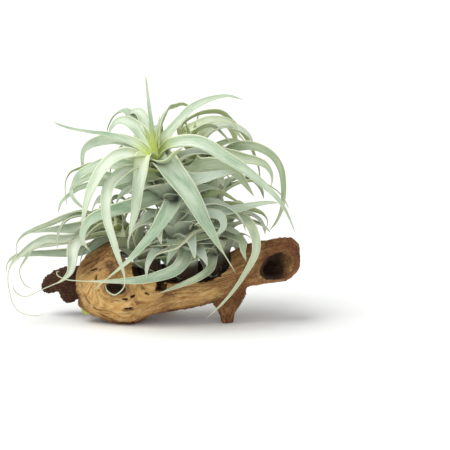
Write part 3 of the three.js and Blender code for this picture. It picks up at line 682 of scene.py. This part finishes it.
# Each shoot's large leaves: where on the stem one grows as a share of the stem's length, its breadth, the
# spots that it passes, how it faces the viewer, and the share of its length where it is a thread.
LEAVES = {"main": {
    "spike": (1, 5, [(28, 184, -28), (24, 214, -24), (22, 230, -22), (20, 247, -20)]),
    "left_long": (0.98, 7, [(13, 177, -22), (0, 184, -14), (-19, 190, -6), (-38, 193, 0), (-61, 198, 4),
        (-76, 204, 6)]),
    "left_broad": (0.94, 13, [(13, 175, -18), (-7, 184, -6), (-27, 184, 3), (-39, 180, 8), (-45, 174, 12),
        (-46, 158, 16), (-44, 148, 20)]),
    "front_left": (0.95, 16, [(11, 167, -40), (-6, 165, -52), (-19, 154, -58), (-29, 139, -60),
        (-34, 128, -60), (-39, 110, -58), (-42, 95, -56)]),
    "front_looped": (0.9, 14, [(8, 153, -46), (-3, 147, -56), (-13, 135, -62), (-16, 120, -64),
        (-15, 105, -63), (-10, 85, -60), (-6, 69, -57), (-2, 56, -54), (-0.5, 45, -52), (-2, 38, -51),
        (-11, 31, -50), (-19, 36, -48), (-20, 41, -47)], FACING, 0.68),
    "front_centre": (0.96, 15, [(20, 167, -42), (17, 150, -52), (14, 135, -55), (11, 116, -55),
        (7, 99, -54), (4, 87, -52)]),
    "front_right": (0.93, 21, [(38, 162, -42), (49, 149, -52), (60, 135, -56), (70, 118, -58),
        (77, 105, -58), (85, 92, -57), (92, 80, -56), (100, 67, -55), (109, 52, -54)], FACING, 0.86),
    "right_arch": (0.96, 15, [(41, 175, -30), (53, 179, -32), (68, 180, -34), (81, 176, -37),
        (95, 167, -40), (110, 158, -42), (123, 149, -43), (135, 139, -43), (148, 127, -42),
        (156, 116, -41), (162, 105, -40), (169, 88, -39)]),
    "upper_right": (0.98, 11, [(30, 175, -22), (41, 188, -18), (51, 200, -15), (63, 214, -12),
        (76, 222, -10), (87, 226, -9), (101, 228, -8), (118, 224, -7)]),
    "back_folded": (0.95, 13, [(32, 189, -14), (38, 207, -2), (42, 216, 6), (48, 219, 12), (55, 222, 18),
        (65, 219, 24)], UNDERSIDE),
    "upper_left_broad": (0.96, 16, [(25, 172, -18), (18, 187, -6), (9, 197, 2), (-1, 204, 8),
        (-9, 205, 12), (-17, 198, 15), (-20, 192, 16)]),
    "olive_arch": (0.9, 13, [(16, 185, 4), (8, 205, 14), (3, 210, 18), (-4, 215, 21), (-13, 212, 24),
        (-20, 202, 26), (-23, 193, 27)], UNDERSIDE),
    "pale_back": (0.92, 12, [(21, 195, 2), (12, 213, 12), (3, 214, 20), (-5, 206, 26)]),
    "low_channel": (0.5, 18, [(46, 124, -22), (48, 122, -38), (44, 114, -50), (36, 101, -56),
        (26, 88, -59), (15, 76, -61), (3, 64, -62), (-13, 51, -62), (-32, 35, -60)], FACING, 0.9),
    "mint_curled": (0.58, 20, [(36, 124, -22), (23, 122, -32), (9, 117, -38), (-9, 113, -41),
        (-21, 110, -42), (-35, 103, -42), (-42, 90, -41), (-40, 80, -40), (-35, 74, -39)]),
    "over_lip": (0.28, 14, [(60, 76, -16), (57, 64, -30), (49, 55, -37), (33, 49, -41), (13, 45, -42),
        (-7, 44, -42), (-27, 44, -41), (-47, 44.5, -38), (-61, 46, -34), (-69, 50, -32), (-70, 53, -31),
        (-67, 54, -30)], FACING, 0.62),
    "left_upper": (0.74, 15, [(18, 150, -16), (-5, 158, -18), (-23, 160, -16), (-35, 156, -12),
        (-47, 151, -8), (-54, 142, -5), (-57, 135, -4)]),
    "left_olive": (0.7, 11, [(12, 152, 6), (-15, 161, 12), (-35, 161, 13), (-48, 157, 12), (-58, 153, 10),
        (-63, 145, 9), (-64, 135, 8), (-62, 116, 6)], UNDERSIDE),
    "left_ring": (0.64, 10, [(15, 138, -8), (-12, 146, -6), (-32, 149, -3), (-49, 142, 0), (-56, 135, -3),
        (-53, 126, -8), (-46, 119, -13), (-41, 114, -16)]),
    "left_strand": (0.6, 8, [(8, 132, 6), (-22, 142, 14), (-48, 138, 14), (-62, 129, 12), (-69, 122, 11),
        (-72, 112, 10)]),
    "crown_cup": (0.95, 17, [(32, 163, -38), (37, 160, -47), (44, 162, -53), (50, 169, -54),
        (58, 176, -50)], UNDERSIDE),
    "low_fill_left": (0.12, 19, [(49, 50, 3), (41, 60, 5), (33, 69, 6), (26, 78, 6)]),
    "mid_fill": (0.4, 19, [(44, 98, 0), (35, 107, 3), (25, 113, 5), (14, 118, 7)]),
    "blue_fold": (0.62, 15, [(60, 116, -18), (76, 112, -25), (92, 112, -28), (110, 115, -29),
        (125, 119, -28), (140, 122, -27), (153, 122, -26)]),
    "pale_turn": (0.52, 14, [(60, 105, -20), (74, 108, -30), (86, 110, -35), (94, 107, -38),
        (96, 99, -41), (91, 92, -43), (84, 90, -44)]),
    "grey_right": (0.8, 18, [(50, 146, -26), (64, 143, -36), (80, 146, -40), (97, 151, -40),
        (111, 152, -38)]),
    "grey_left": (0.72, 19, [(32, 148, -28), (20, 146, -38), (6, 146, -43), (-8, 141, -44), (-19, 132, -42)]),
    "trough_curl": (0.34, 12, [(58, 84, -14), (51, 80, -25), (44, 71, -31), (40, 60, -33)]),
}, "right": {
    "low_fill_right": (0.1, 19, [(84, 48, 6), (78, 58, 7), (72, 68, 8), (68, 80, 8)]),
    "right_green": (0.96, 12, [(57, 190, 6), (66, 197, 4), (80, 204, 3), (93, 205, 2), (104, 202, 2),
        (111, 191, 1), (120, 182, 0)]),
    "right_outer": (0.98, 9, [(54, 198, 14), (68, 210, 20), (85, 214, 24), (95, 213, 25), (104, 205, 26),
        (118, 191, 26), (124, 180, 25), (129, 168, 24), (133, 155, 23), (133, 137, 22)], UNDERSIDE),
    "right_thread": (1, 5, [(72, 196, 8), (86, 199, 6), (96, 191, 4), (106, 180, 2)]),
    "right_pale": (0.9, 11, [(75, 175, 10), (87, 177, 7), (96, 182, 5), (107, 185, 4), (115, 184, 4)]),
    "right_hook": (0.94, 12, [(84, 174, 14), (100, 172, 15), (108, 177, 15), (119, 179, 15),
        (129, 178, 14), (139, 174, 13), (147, 168, 11), (153, 159, 9), (156, 149, 7), (157, 130, 5),
        (155, 115, 3), (149, 102, 1), (142, 93, -1)]),
    "right_fold": (0.86, 13, [(88, 170, 2), (105, 168, -6), (118, 165, -9), (129, 163, -10),
        (137, 160, -10), (143, 153, -10), (145, 145, -10), (144, 138, -9)]),
    "right_channel": (0.78, 21, [(62, 160, -2), (71, 156, -12), (83, 158, -18), (98, 157, -20),
        (109, 151, -22), (119, 139, -22), (128, 127, -21)]),
    "small_olive": (0.56, 9, [(77, 119, -2), (79, 126, -8), (87, 132, -12), (92, 133, -13),
        (99, 130, -14), (106, 126, -13), (112, 123, -12)], UNDERSIDE),
    "blue_turned": (0.56, 12, [(100, 120, 8), (118, 117, 5), (128, 114, 3), (136, 111, 1), (141, 104, -2),
        (139, 95, -5)], UNDERSIDE),
    "right_long": (0.46, 11, [(94, 106, 0), (106, 108, -14), (116, 105, -24), (123, 98, -32),
        (127, 89, -38), (128.5, 80, -42), (127.5, 72, -44), (123, 62, -46), (116, 50, -48),
        (106, 35, -48), (94, 21, -48), (87, 14, -47), (79, 7, -46)], FACING, 0.92),
    "short_folded": (0.42, 14, [(92, 92, 4), (104, 88, -12), (115, 82, -28), (116, 74, -36), (119, 64, -38)]),
    "level_mint": (0.36, 12, [(91, 87, 2), (84, 88, -20), (66, 85, -33), (45, 81, -39), (23, 79, -42)]),
    "trough_blade": (0.28, 13, [(82, 78, -8), (74, 72, -20), (62, 65, -27), (52, 62, -29)]),
    "lip_short": (0.22, 10, [(86, 66, -12), (83, 55, -27), (73, 48, -34), (56, 41, -37), (40, 35, -39),
        (30, 31, -40)], FACING, 0.9),
    "dry_curl": (0.5, 3, [(84, 102, -18), (75, 103, -30), (70, 108, -33), (73, 104, -36), (67, 99, -37)]),
    "dry_thread": (0.42, 3, [(82, 96, -10), (74, 96, -26), (66, 91, -38), (59, 84, -44), (50, 77, -48),
        (36, 73, -50), (27, 69, -51)]),
}, "left": {
    "low_fill_knob": (0.18, 21, [(14, 57, 8), (6, 66, 7), (-3, 73, 6), (-13, 77, 4)]),
    "low_fill_peak": (0.5, 20, [(-4, 86, 17), (-18, 84, 20), (-32, 77, 21), (-46, 68, 19)]),
    "outer_long": (0.92, 11, [(-30, 110, 0), (-45, 115, -6), (-62, 110, -10), (-77, 103, -12),
        (-94, 96, -14), (-105, 90, -14), (-111, 82, -14), (-112, 73, -14), (-109, 62, -13)], FACING, 0.8),
    "outer_hook": (0.88, 11, [(-32, 106, -6), (-44, 109, -12), (-57, 106, -17), (-64, 100, -19),
        (-68, 92, -20), (-70, 83, -20), (-70, 76, -19)]),
    "outer_straight": (0.82, 14, [(-32, 98, 8), (-55, 96, 12), (-72, 95, 12), (-87, 94, 11), (-103, 92, 10)]),
    "outer_ring": (0.74, 15, [(-30, 90, -4), (-48, 85, -8), (-67, 83, -10), (-81, 84, -11),
        (-90, 81, -12), (-98, 77, -12), (-107, 70, -13), (-115, 63, -14), (-120, 54, -14),
        (-121, 43, -14), (-119, 29, -14), (-116, 19, -14), (-110, 12, -14), (-102, 9, -14), (-94, 8, -14),
        (-84, 10, -14)], FACING, 0.56),
    "outer_level": (0.64, 13, [(-20, 84, 20), (-38, 76, 22), (-55, 71, 20), (-77, 70, 16), (-98, 70, 12),
        (-115, 68, 9), (-122, 64, 8), (-125, 59, 7), (-126, 50, 7)], FACING, 0.84),
    "outer_curl": (0.68, 9, [(-28, 88, 12), (-52, 84, 6), (-78, 80, 0), (-96, 76, -4), (-104, 65, -5),
        (-110, 55, -6), (-109, 46, -6), (-105, 39, -6), (-98, 35, -5)], FACING, 0.66),
    "hanging_pale": (0.8, 20, [(-28, 96, -6), (-42, 88, -16), (-51, 76, -22), (-53, 64, -24),
        (-56, 53, -25), (-64, 45, -25), (-77, 39, -25), (-86, 35, -25), (-94, 31, -25), (-102, 28, -25),
        (-109, 30, -24), (-114, 35, -23), (-115, 40, -23)], FACING, 0.5),
}}
# How much paler or deeper than the rest some large leaves are: partly their own tone, partly painted
# light on leaves that face the light and painted shade on leaves that lie in the shade of others.
PALENESS_AND_PAINTED_LIGHT = {
    "upper_left_broad": 1.0, "pale_back": 0.9, "upper_right": 0.3, "left_broad": 0.5, "spike": 0.2,
    "front_looped": 2.0, "front_centre": 1.4, "front_left": 1.8, "right_arch": 0.2,
    "front_right": -0.4, "grey_right": -0.5, "right_channel": -0.4,
    "right_green": 0.9, "right_hook": -1.0, "left_ring": -0.3, "hanging_pale": 0.7, "outer_ring": 0.5,
    "outer_long": 1.6, "low_channel": -0.6, "over_lip": -0.4, "low_fill_peak": -0.2,
}
# How grey some leaves are, and the small clasping ones of each shoot.
GREYNESS = {"grey_left": 0.5, "grey_right": 0.45, "blue_fold": 0.25, "pale_turn": 0.4, "trough_curl": 0.2,
            "main": 0.6, "right": 0.42, "left": 0.0}
# Painted shade where a leaf is so deeply rolled that its inside lies in the dark: share of its length,
# extent, how dark.
THROATS = {"low_channel": (0.19, 0.07, 1.0), "crown_cup": (0.35, 0.3, 0.55)}
# Leaves whose root lies in a cup's shade, which is painted darker there.
SHADED_AT_ROOT = ("front_right", "crown_cup", "low_channel", "low_fill_left", "low_fill_right",
                  "low_fill_peak")
# Leaves on the far side and low between the stems: share, breadth, length, compass angle, and the first
# and last pitch in degrees.
BACK_LEAVES = {
    "main": [(0.92, 15, 128, 95, 72, -72), (0.84, 15, 138, 128, 58, -72), (0.68, 16, 140, 84, 50, -76),
             (0.5, 15, 120, 132, 44, -66), (0.24, 20, 52, 182, 22, -20), (0.34, 18, 60, 168, 8, -34)],
    "right": [(0.9, 14, 128, 62, 62, -74), (0.66, 15, 132, 88, 46, -74), (0.56, 14, 112, 28, 44, -58),
              (0.42, 14, 104, 64, 40, -60), (0.2, 20, 50, 196, 26, -16), (0.32, 18, 54, 178, 10, -34)],
    "left": [(0.9, 13, 104, 118, 54, -66), (0.68, 13, 100, 82, 48, -66), (0.8, 15, 78, 156, 50, -62),
             (0.6, 15, 80, 186, 38, -70), (0.5, 16, 72, 212, 40, -70), (0.3, 18, 46, 205, 30, -30)],
}
# The smaller leaves that clasp each stem in spirals: short ones, longer ones that hang, and a low fan:
# count, first and last share, length, breadth, first compass angle, first and last pitch in degrees.
CLASPING = {
    "main": [(16, 0.16, 0.76, 46, 18, 200, 62, -30), (17, 0.14, 0.8, 86, 17, 95, 56, -78),
             (7, 0.16, 0.34, 66, 18, 20, 34, -40), (6, 0.12, 0.26, 40, 19, 320, 80, 10)],
    "right": [(14, 0.16, 0.84, 42, 16, 320, 62, -30), (11, 0.14, 0.84, 76, 19, 60, 56, -78),
              (7, 0.14, 0.32, 62, 17, 140, 34, -40), (6, 0.1, 0.24, 38, 18, 200, 80, 10)],
    "left": [(10, 0.22, 0.86, 40, 15, 150, 62, -30), (9, 0.2, 0.8, 66, 15, 30, 56, -74)],
}
# How much more upright than its stem a head stands.
HEAD_LIFT = np.array([0.15, 0.0, 0.5])
# Young leaves in the heads: count, longest, shortest, breadth, spread from upright in degrees. Then by how
# many degrees each bends over.
HEADS = {"main": (11, 52, 34, 6.5, 11), "right": (6, 44, 26, 6, 24), "left": (5, 40, 24, 6, 28)}
HEAD_BEND = 12

# The ring of points round a blade: eleven over the top and nine back underneath, meeting at thin edges.
TOP = np.linspace(-1, 1, 11)
RING_ACROSS = np.concatenate([TOP, TOP[-2:0:-1]])
RING_FACE = np.concatenate([[0], np.ones(9), [0], -np.ones(9)])
SHAPE_VALUES = ("bend", "radius", "thick", "along")
COLOUR_VALUES = ("share", "tail", "heart", "seed", "tone_and_painted_light", "dry", "low", "grey", "throat")


def compass(degrees):
    """A level direction."""
    return np.array([math.cos(math.radians(degrees)), math.sin(math.radians(degrees)), 0.0])


def arched(start, axis, heading, length, first, last, steps=6):
    """Spots along a blade that leaves at one pitch and bends evenly to another."""
    pitches = np.radians(np.linspace(first, last, steps))
    out = upright_to(axis, heading)
    moves = (np.cos(pitches)[:, None] * out + np.sin(pitches)[:, None] * axis) * length / steps
    return start + np.cumsum(moves, axis=0)


def blade(spots, axis, breadth, facing, draw, heart, reach=1.0, clasp=None, young=0.0):
    """A blade's stations: places on its centreline, two directions, and what its shape and colour need.
    Its section is an arc, bend radians to each side. A clasping blade starts as a shell round the stem."""
    fine = np.linspace(0, 1, ROUTE_POINTS)
    line = through(spots, fine)
    travelled = travelled_along(line)
    count = max(FEWEST_STATIONS, round(travelled[-1] / STATION_STEP))
    along = np.linspace(0, travelled[-1], count + 1)
    centres = np.stack([np.interp(along, travelled, line[:, k]) for k in range(3)], axis=1)
    share = np.interp(along, travelled, fine)
    if clasp:
        share = np.clip((along - CLASP_LENGTH) / (along[-1] - CLASP_LENGTH), 0, 1)
    tangents = np.gradient(centres, axis=0)
    tangents /= np.linalg.norm(tangents, axis=1)[:, None]

    side = unit(np.cross(axis, clasp["out"] if clasp else spots[2] - spots[0]))
    roll = draw.uniform(-ROLL, ROLL) * smooth(share, 0.15, 0.8)
    sway = np.sin(2 * math.pi * (SWAYS_IN_LENGTH * share + draw.uniform()))
    roll = roll + SWAY * sway * smooth(share, 0.1, 0.4)
    sides, ups = [], []
    for part, tangent, turn in zip(share, tangents, roll):
        side = upright_to(tangent, side)
        up = upright_to(tangent, np.cross(tangent, side) + VIEWER * facing * smooth(part, 0, 0.35))
        level = np.cross(up, tangent)
        ups.append(up * math.cos(turn) + level * math.sin(turn))
        sides.append(level * math.cos(turn) - up * math.sin(turn))

    left = 1 - share
    root = 1.0
    if not clasp:
        root = ROOT_NARROWING + (1 - ROOT_NARROWING) * smooth(share, 0, 1.2 / (len(spots) - 1))
    wide = TAIL_WIDTH + (breadth * BREADTH - TAIL_WIDTH) * (1 - np.minimum(share / reach, 1) ** TAPER) * root
    wide = wide * (1 - TIP_CLOSING * smooth(share, TIP_FROM, 1))
    bend = 2 * np.arctan(2 * (CHANNEL_AT_TIP + (CHANNEL_AT_BASE - CHANNEL_AT_TIP) * left))
    radius = wide / 2 / np.sin(bend)
    if clasp:
        hold = 1 - smooth(along, CLASP_LENGTH * 0.7, CLASP_LENGTH * 1.7)
        bend = bend + (CLASP_BEND - bend) * hold
        radius = radius + (clasp["radius"] - radius) * hold
    thick = np.minimum(TAIL_THICKNESS + (BLADE_THICKNESS - TAIL_THICKNESS) * left, wide * 0.5)
    glow = HEART_GLOW * bell(np.linalg.norm(centres - heart, axis=1), 0, HEART_EXTENT)
    return {
        "centres": centres, "side": np.array(sides), "up": np.array(ups), "bend": bend, "radius": radius * MM,
        "thick": thick * MM, "along": along, "share": share,
        "tail": smooth(share, 0.75 * reach, reach) * (1 - young),
        "heart": np.maximum(glow, young * left ** 0.8), "seed": draw.uniform(0, 50),
        "tone_and_painted_light": draw.uniform(-1, 1), "dry": 0.0, "low": 1.0, "grey": 0.0, "throat": 0.0,
    }


def large_leaves(name, stem, draw, heart):
    """A shoot's large leaves on their routes, then its far leaves."""
    made = []
    for leaf, (share, breadth, route, *turn) in LEAVES[name].items():
        facing = turn[0] if turn else FACING
        reach = turn[1] if len(turn) > 1 else 1.0
        spots = np.vstack([stem.at(share), [seen(*spot) for spot in route]])
        values = blade(spots, stem.along(share), breadth, facing, draw, heart, reach)
        values["dry"] = float(leaf.startswith("dry"))
        # the listed leaves' tone carries their painted light and shade
        values["tone_and_painted_light"] = PALENESS_AND_PAINTED_LIGHT.get(leaf, values["tone_and_painted_light"] * 0.7)
        values["low"] = 1 - 0.5 * smooth(share, 0.8, 0.9)
        values["grey"] = GREYNESS.get(leaf, 0.0)
        if leaf in THROATS:
            middle, extent, darkness = THROATS[leaf]
            values["throat"] = darkness * bell(values["share"], middle, extent)
        if leaf in SHADED_AT_ROOT:
            values["low"] = 2.2
            values["heart"] = values["heart"] * 0.3
        made.append(values)
    for share, breadth, length, degrees, first, last in BACK_LEAVES[name]:
        path = arched(stem.at(share), np.array([0.0, 0, 1]), compass(degrees), length, first, last)
        made.append(blade(np.vstack([stem.at(share), path]), stem.along(share), breadth, 0, draw, heart))
    return made


def clasping_leaves(name, stem, draw, heart):
    """The smaller leaves that clasp a stem. Each climbs against it for a little, and then arches out."""
    made = []
    for count, low, high, length, breadth, first, rising, falling in CLASPING[name]:
        for i in range(count):
            share = low + (high - low) * i / (count - 1)
            heading = compass(first + math.degrees(i * GOLDEN_ANGLE))
            climb = []
            for rise in (0, 0.25, 0.5, 0.75, 1):
                spot = min(share + rise * CLASP_LENGTH / stem.length, 1)
                gap = stem.radius(spot) + CLASP_GAP + CLASP_LEAN * rise
                climb.append(stem.at(spot) + upright_to(stem.along(spot), heading) * gap)
            axis = stem.along(share)
            # leaves that come towards the viewer are shorter, most of all high up, and far ones a little
            shorter = max(-heading[1], 0) * (0.25 + 0.5 * smooth(share, 0.4, 0.7))
            shorter += 0.34 * max(heading[1], 0)
            grown = length * draw.uniform(0.75, 1.15) * (1 - shorter)
            path = arched(climb[-1], axis, heading, grown, rising, falling)
            hold = {"out": upright_to(axis, heading), "radius": stem.radius(share) + CLASP_ROOM}
            values = blade(np.vstack([climb, path]), axis, breadth, 0, draw, heart, clasp=hold)
            values["low"] = 1 - 0.65 * smooth(share, 0.2, 0.45)
            values["grey"] = GREYNESS[name]
            made.append(values)
    return made


def young_leaves(name, stem, draw, heart):
    """The upright young leaves of a head, the innermost the shortest and steepest."""
    made = []
    count, longest, shortest, breadth, spread = HEADS[name]
    axis = unit(stem.along(1) + HEAD_LIFT)
    level = np.cross([1, 0, 0], axis)
    for i in range(count):
        part = i / (count - 1)
        turn = i * GOLDEN_ANGLE
        heading = level * math.cos(turn) + np.cross(axis, level) * math.sin(turn)
        lift = 90 - spread * (1 - 0.6 * part)
        root = stem.at(0.96 + 0.04 * part)
        length = longest + (shortest - longest) * part
        path = arched(root, axis, heading, length, lift, lift - HEAD_BEND, 4)
        made.append(blade(
            np.vstack([root, path]), axis, breadth, 0, draw, heart, young=HEART_GREEN[name]))
    return made


def rings_mesh(name, blades):
    """One mesh of closed tubes that still lie on their centrelines, with their values as attributes."""
    ring = len(RING_ACROSS)
    counts = [len(leaf["centres"]) for leaf in blades]
    stations = sum(counts)
    faces, base = [], 0
    for count in counts:
        faces += tube(count, ring, base)
        base += count * ring
    column = {value: np.repeat(np.concatenate([
        np.broadcast_to(leaf[value], count) for leaf, count in zip(blades, counts)]), ring)
        for value in (*SHAPE_VALUES, *COLOUR_VALUES)}
    column["across"] = np.tile(RING_ACROSS, stations)
    column["face"] = np.tile(RING_FACE, stations)
    for value in ("centres", "side", "up"):
        column[value] = np.repeat(np.concatenate([leaf[value] for leaf in blades]), ring, axis=0)
    mesh = bpy.data.meshes.new(name)
    mesh.from_pydata(column.pop("centres") * MM, [], faces)
    for value, values in column.items():
        store(mesh, value, values)
    corner = np.empty(len(mesh.loops), int)
    mesh.loops.foreach_get("vertex_index", corner)
    spread = column["across"] * column["radius"] * column["bend"] / MM
    uv = np.stack([spread, column["along"]], axis=1)[corner]
    mesh.uv_layers.new(name="blade").data.foreach_set("uv", uv.ravel().astype(np.float32))
    return mesh


# The tree that opens each centreline into a channelled blade: an arc across, thin at its edges, which
# wave a little. The values come from the attributes, and the sizes of the wave are its named inputs.
blade_tree, sizes = geometry_tree("channelled_blade", {
    "Edge wave": 1.4 * MM, "Wave length": 19.0, "Edge sharpness": 6.0})
known = {name: add(blade_tree, "GeometryNodeInputNamedAttribute", {"Name": name}, "Attribute",
                   data_type="FLOAT_VECTOR" if name in ("side", "up") else "FLOAT")
         for name in ("across", "face", "bend", "radius", "thick", "along", "seed", "side", "up")}
known["Edge wave"] = sizes["Edge wave"]
known["Edge sharpness"] = sizes["Edge sharpness"]
lengthways = add(blade_tree, "ShaderNodeMath", [known["along"], sizes["Wave length"]], operation="DIVIDE")
crossways = add(blade_tree, "ShaderNodeMath", [known["across"], 0.9], operation="MULTIPLY")
spot = add(blade_tree, "ShaderNodeCombineXYZ", [lengthways, crossways, known["seed"]])
known["noise"] = add(blade_tree, "ShaderNodeTexNoise", dict(zip(NOISE, (spot, 1.0, 1.0))))
# each step: what it gives, how, and from what
for result, operation, *terms in [
    # the skin lies half a thickness over or under the arc, and meets at the edges
    ("outward", "ABSOLUTE", "across"), ("edge", "POWER", "outward", "Edge sharpness"),
    ("inner", "SUBTRACT", 1.0, "edge"), ("half", "MULTIPLY", "face", 0.5),
    ("half", "MULTIPLY", "half", "thick"), ("skin", "MULTIPLY", "inner", "half"),
    ("reach", "SUBTRACT", "radius", "skin"),
    # how far a point lies beside the centreline, and above it
    ("angle", "MULTIPLY", "across", "bend"), ("sine", "SINE", "angle"), ("cosine", "COSINE", "angle"),
    ("beside", "MULTIPLY", "reach", "sine"), ("drop", "MULTIPLY", "reach", "cosine"),
    ("above", "SUBTRACT", "radius", "drop"),
    # the wave: most at the edges, and less where the blade is narrow
    ("ripple", "SUBTRACT", "noise", 0.5), ("ripple", "MULTIPLY", "ripple", "Edge wave"),
    ("steep", "POWER", "outward", 2.0), ("ripple", "MULTIPLY", "ripple", "steep"),
    ("broad", "MULTIPLY", "radius", 0.15 / MM), ("broad", "MINIMUM", "broad", 1.5),
    ("above", "MULTIPLY_ADD", "ripple", "broad", "above"),
]:
    known[result] = add(blade_tree, "ShaderNodeMath", [known.get(term, term) for term in terms],
                        operation=operation)
offset = add(blade_tree, "ShaderNodeVectorMath", [
    add(blade_tree, "ShaderNodeVectorMath", {0: known[way], "Scale": known[size]}, operation="SCALE")
    for way, size in (("side", "beside"), ("up", "above"))], operation="ADD")
close_tree(blade_tree, sizes["Geometry"], offset, sizes["Material"])


def leaf_surface(name, light, deep, back):
    """A living air plant leaf: grey green under a coat of fine silvery scales, with a pale margin, faint
    ribs along it, chartreuse at the heart, an olive back and a dry thread of a tip. Painted light and shade
    stand in for how light falls on it: across its channel, on whole leaves, at the root and the heart, low
    in the trough and in rolled throats."""
    made, tree, shader = material(name, {
        "Roughness": 0.55, "Specular IOR Level": 0.35, "Sheen Weight": 0.3, "Sheen Roughness": 0.5,
        "Subsurface Weight": 0.12, "Subsurface Radius": (0.6, 1.0, 0.35), "Subsurface Scale": 2 * MM})
    read = {value: add(tree, "ShaderNodeAttribute", output="Fac", attribute_name=value)
            for value in ("across", "face", *COLOUR_VALUES)}
    uv = add(tree, "ShaderNodeUVMap", uv_map="blade")
    place = add(tree, "ShaderNodeTexCoord", output="Object")
    height = add(tree, "ShaderNodeSeparateXYZ", [place], "Z")
    outward = add(tree, "ShaderNodeMath", [read["across"]], operation="ABSOLUTE")
    # ribs about 0.9 mm apart that run the length of the blade, and clouds 8 mm across, its own on each leaf
    ribs = add(tree, "ShaderNodeMapping", {"Vector": uv, "Scale": (1.1, 0.035, 1.0)})
    ribs = add(tree, "ShaderNodeTexNoise", dict(zip(NOISE, (ribs, 1.0, 3.0, 0.6))))
    own = add(tree, "ShaderNodeCombineXYZ", {"Z": read["seed"]})
    clouds = add(tree, "ShaderNodeVectorMath", [uv, own], operation="ADD")
    clouds = add(tree, "ShaderNodeMapping", {"Vector": clouds, "Scale": (0.13, 0.035, 1.0)})
    clouds = add(tree, "ShaderNodeTexNoise", dict(zip(NOISE, (clouds, 1.0, 2.0))))
    # the coat of silvery scales, drawn at 0.6 mm, coarser than life so that it shows
    coat = add(tree, "ShaderNodeTexNoise", dict(zip(NOISE, (place, 1700.0, 1.0))))
    # ribs, clouds and each leaf's tone, with the painted light and shade of the listed leaves
    mixed = 0.0
    for value, weight in ((ribs, 0.7), (clouds, 0.6), (read["tone_and_painted_light"], 0.12)):
        mixed = add(tree, "ShaderNodeMath", [value, weight, mixed], operation="MULTIPLY_ADD")
    colour = layered(tree, linear(deep), [
        (light, (mixed, 0.4, 0.9, 0.0, 1.0)),
        # a pale bloom down the middle, strongest near the root, partly the real bloom and partly a painted
        # highlight, and a painted shade of deeper green beside the margin
        ("#e6ecdb", (read["share"], 0.12, 0.62, 0.9, 0.1), (clouds, 0.35, 0.62, 0.1, 0.8),
         (read["tone_and_painted_light"], -1.0, 1.0, 0.25, 1.5), (outward, 0.3, 0.85, 1.0, 0.3)),
        (deep, (outward, 0.5, 0.86, 0.0, 0.3)),
        # the back, the grey of old leaves, the painted shade at the root, and the heart, paler than its own
        # colour as painted light
        (back, (read["face"], 0.0, -0.4, 0.0, 0.85)),
        ("#ccd5cb", (read["grey"],)),
        # painted shade at the root
        ("#4c5c3c", (read["share"], 0.0, 0.18, 0.8, 0.0), (read["low"],)),
        ("#dbea58", (read["heart"],)),
        # the margin, the tip, and leaves that have dried
        ("#f0f4cf", (outward, 0.85, 0.93, 0.0, 0.9)),
        ("#bfc29e", (read["tail"], 0.0, 1.0, 0.0, 0.6)),
        ("#d5d6b2", (read["dry"],)),
        # the coat, the bases down in the trough, which are old, brown and dry and take a painted shade of the
        # trough as well, and painted shade in the dark rolled throats
        ("#f0f4ea", (coat, 0.5, 0.75, 0.0, 0.28)),
        ("#462a19", (height, 82 * MM, 56 * MM, 0.0, 0.95), (read["share"], 0.02, 0.2, 1.0, 0.0)),
        ("#070a05", (read["throat"],), (outward, 0.34, 0.6, 1.0, 0.0)),
    ])
    dress(tree, shader, colour, ribs, 0.35, 0.4 * MM)
    return made


for name, stem in stems.items():
    draw = np.random.default_rng(SEEDS[name])
    heart = stem.at(1.0) + HEART_BEYOND * stem.along(1.0)
    blades = []
    for grow in (large_leaves, clasping_leaves, young_leaves):
        blades += grow(name, stem, draw, heart)
    for values in blades:
        values["heart"] = values["heart"] * HEART_GREEN[name]
    leaves = placed(name + "_leaves", rings_mesh(name + "_leaves", blades))
    run_tree(leaves, blade_tree, leaf_surface(SLOTS[name], *LEAF_TONES[name]))
    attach(leaves, "root")
    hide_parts(name + "_shoot")
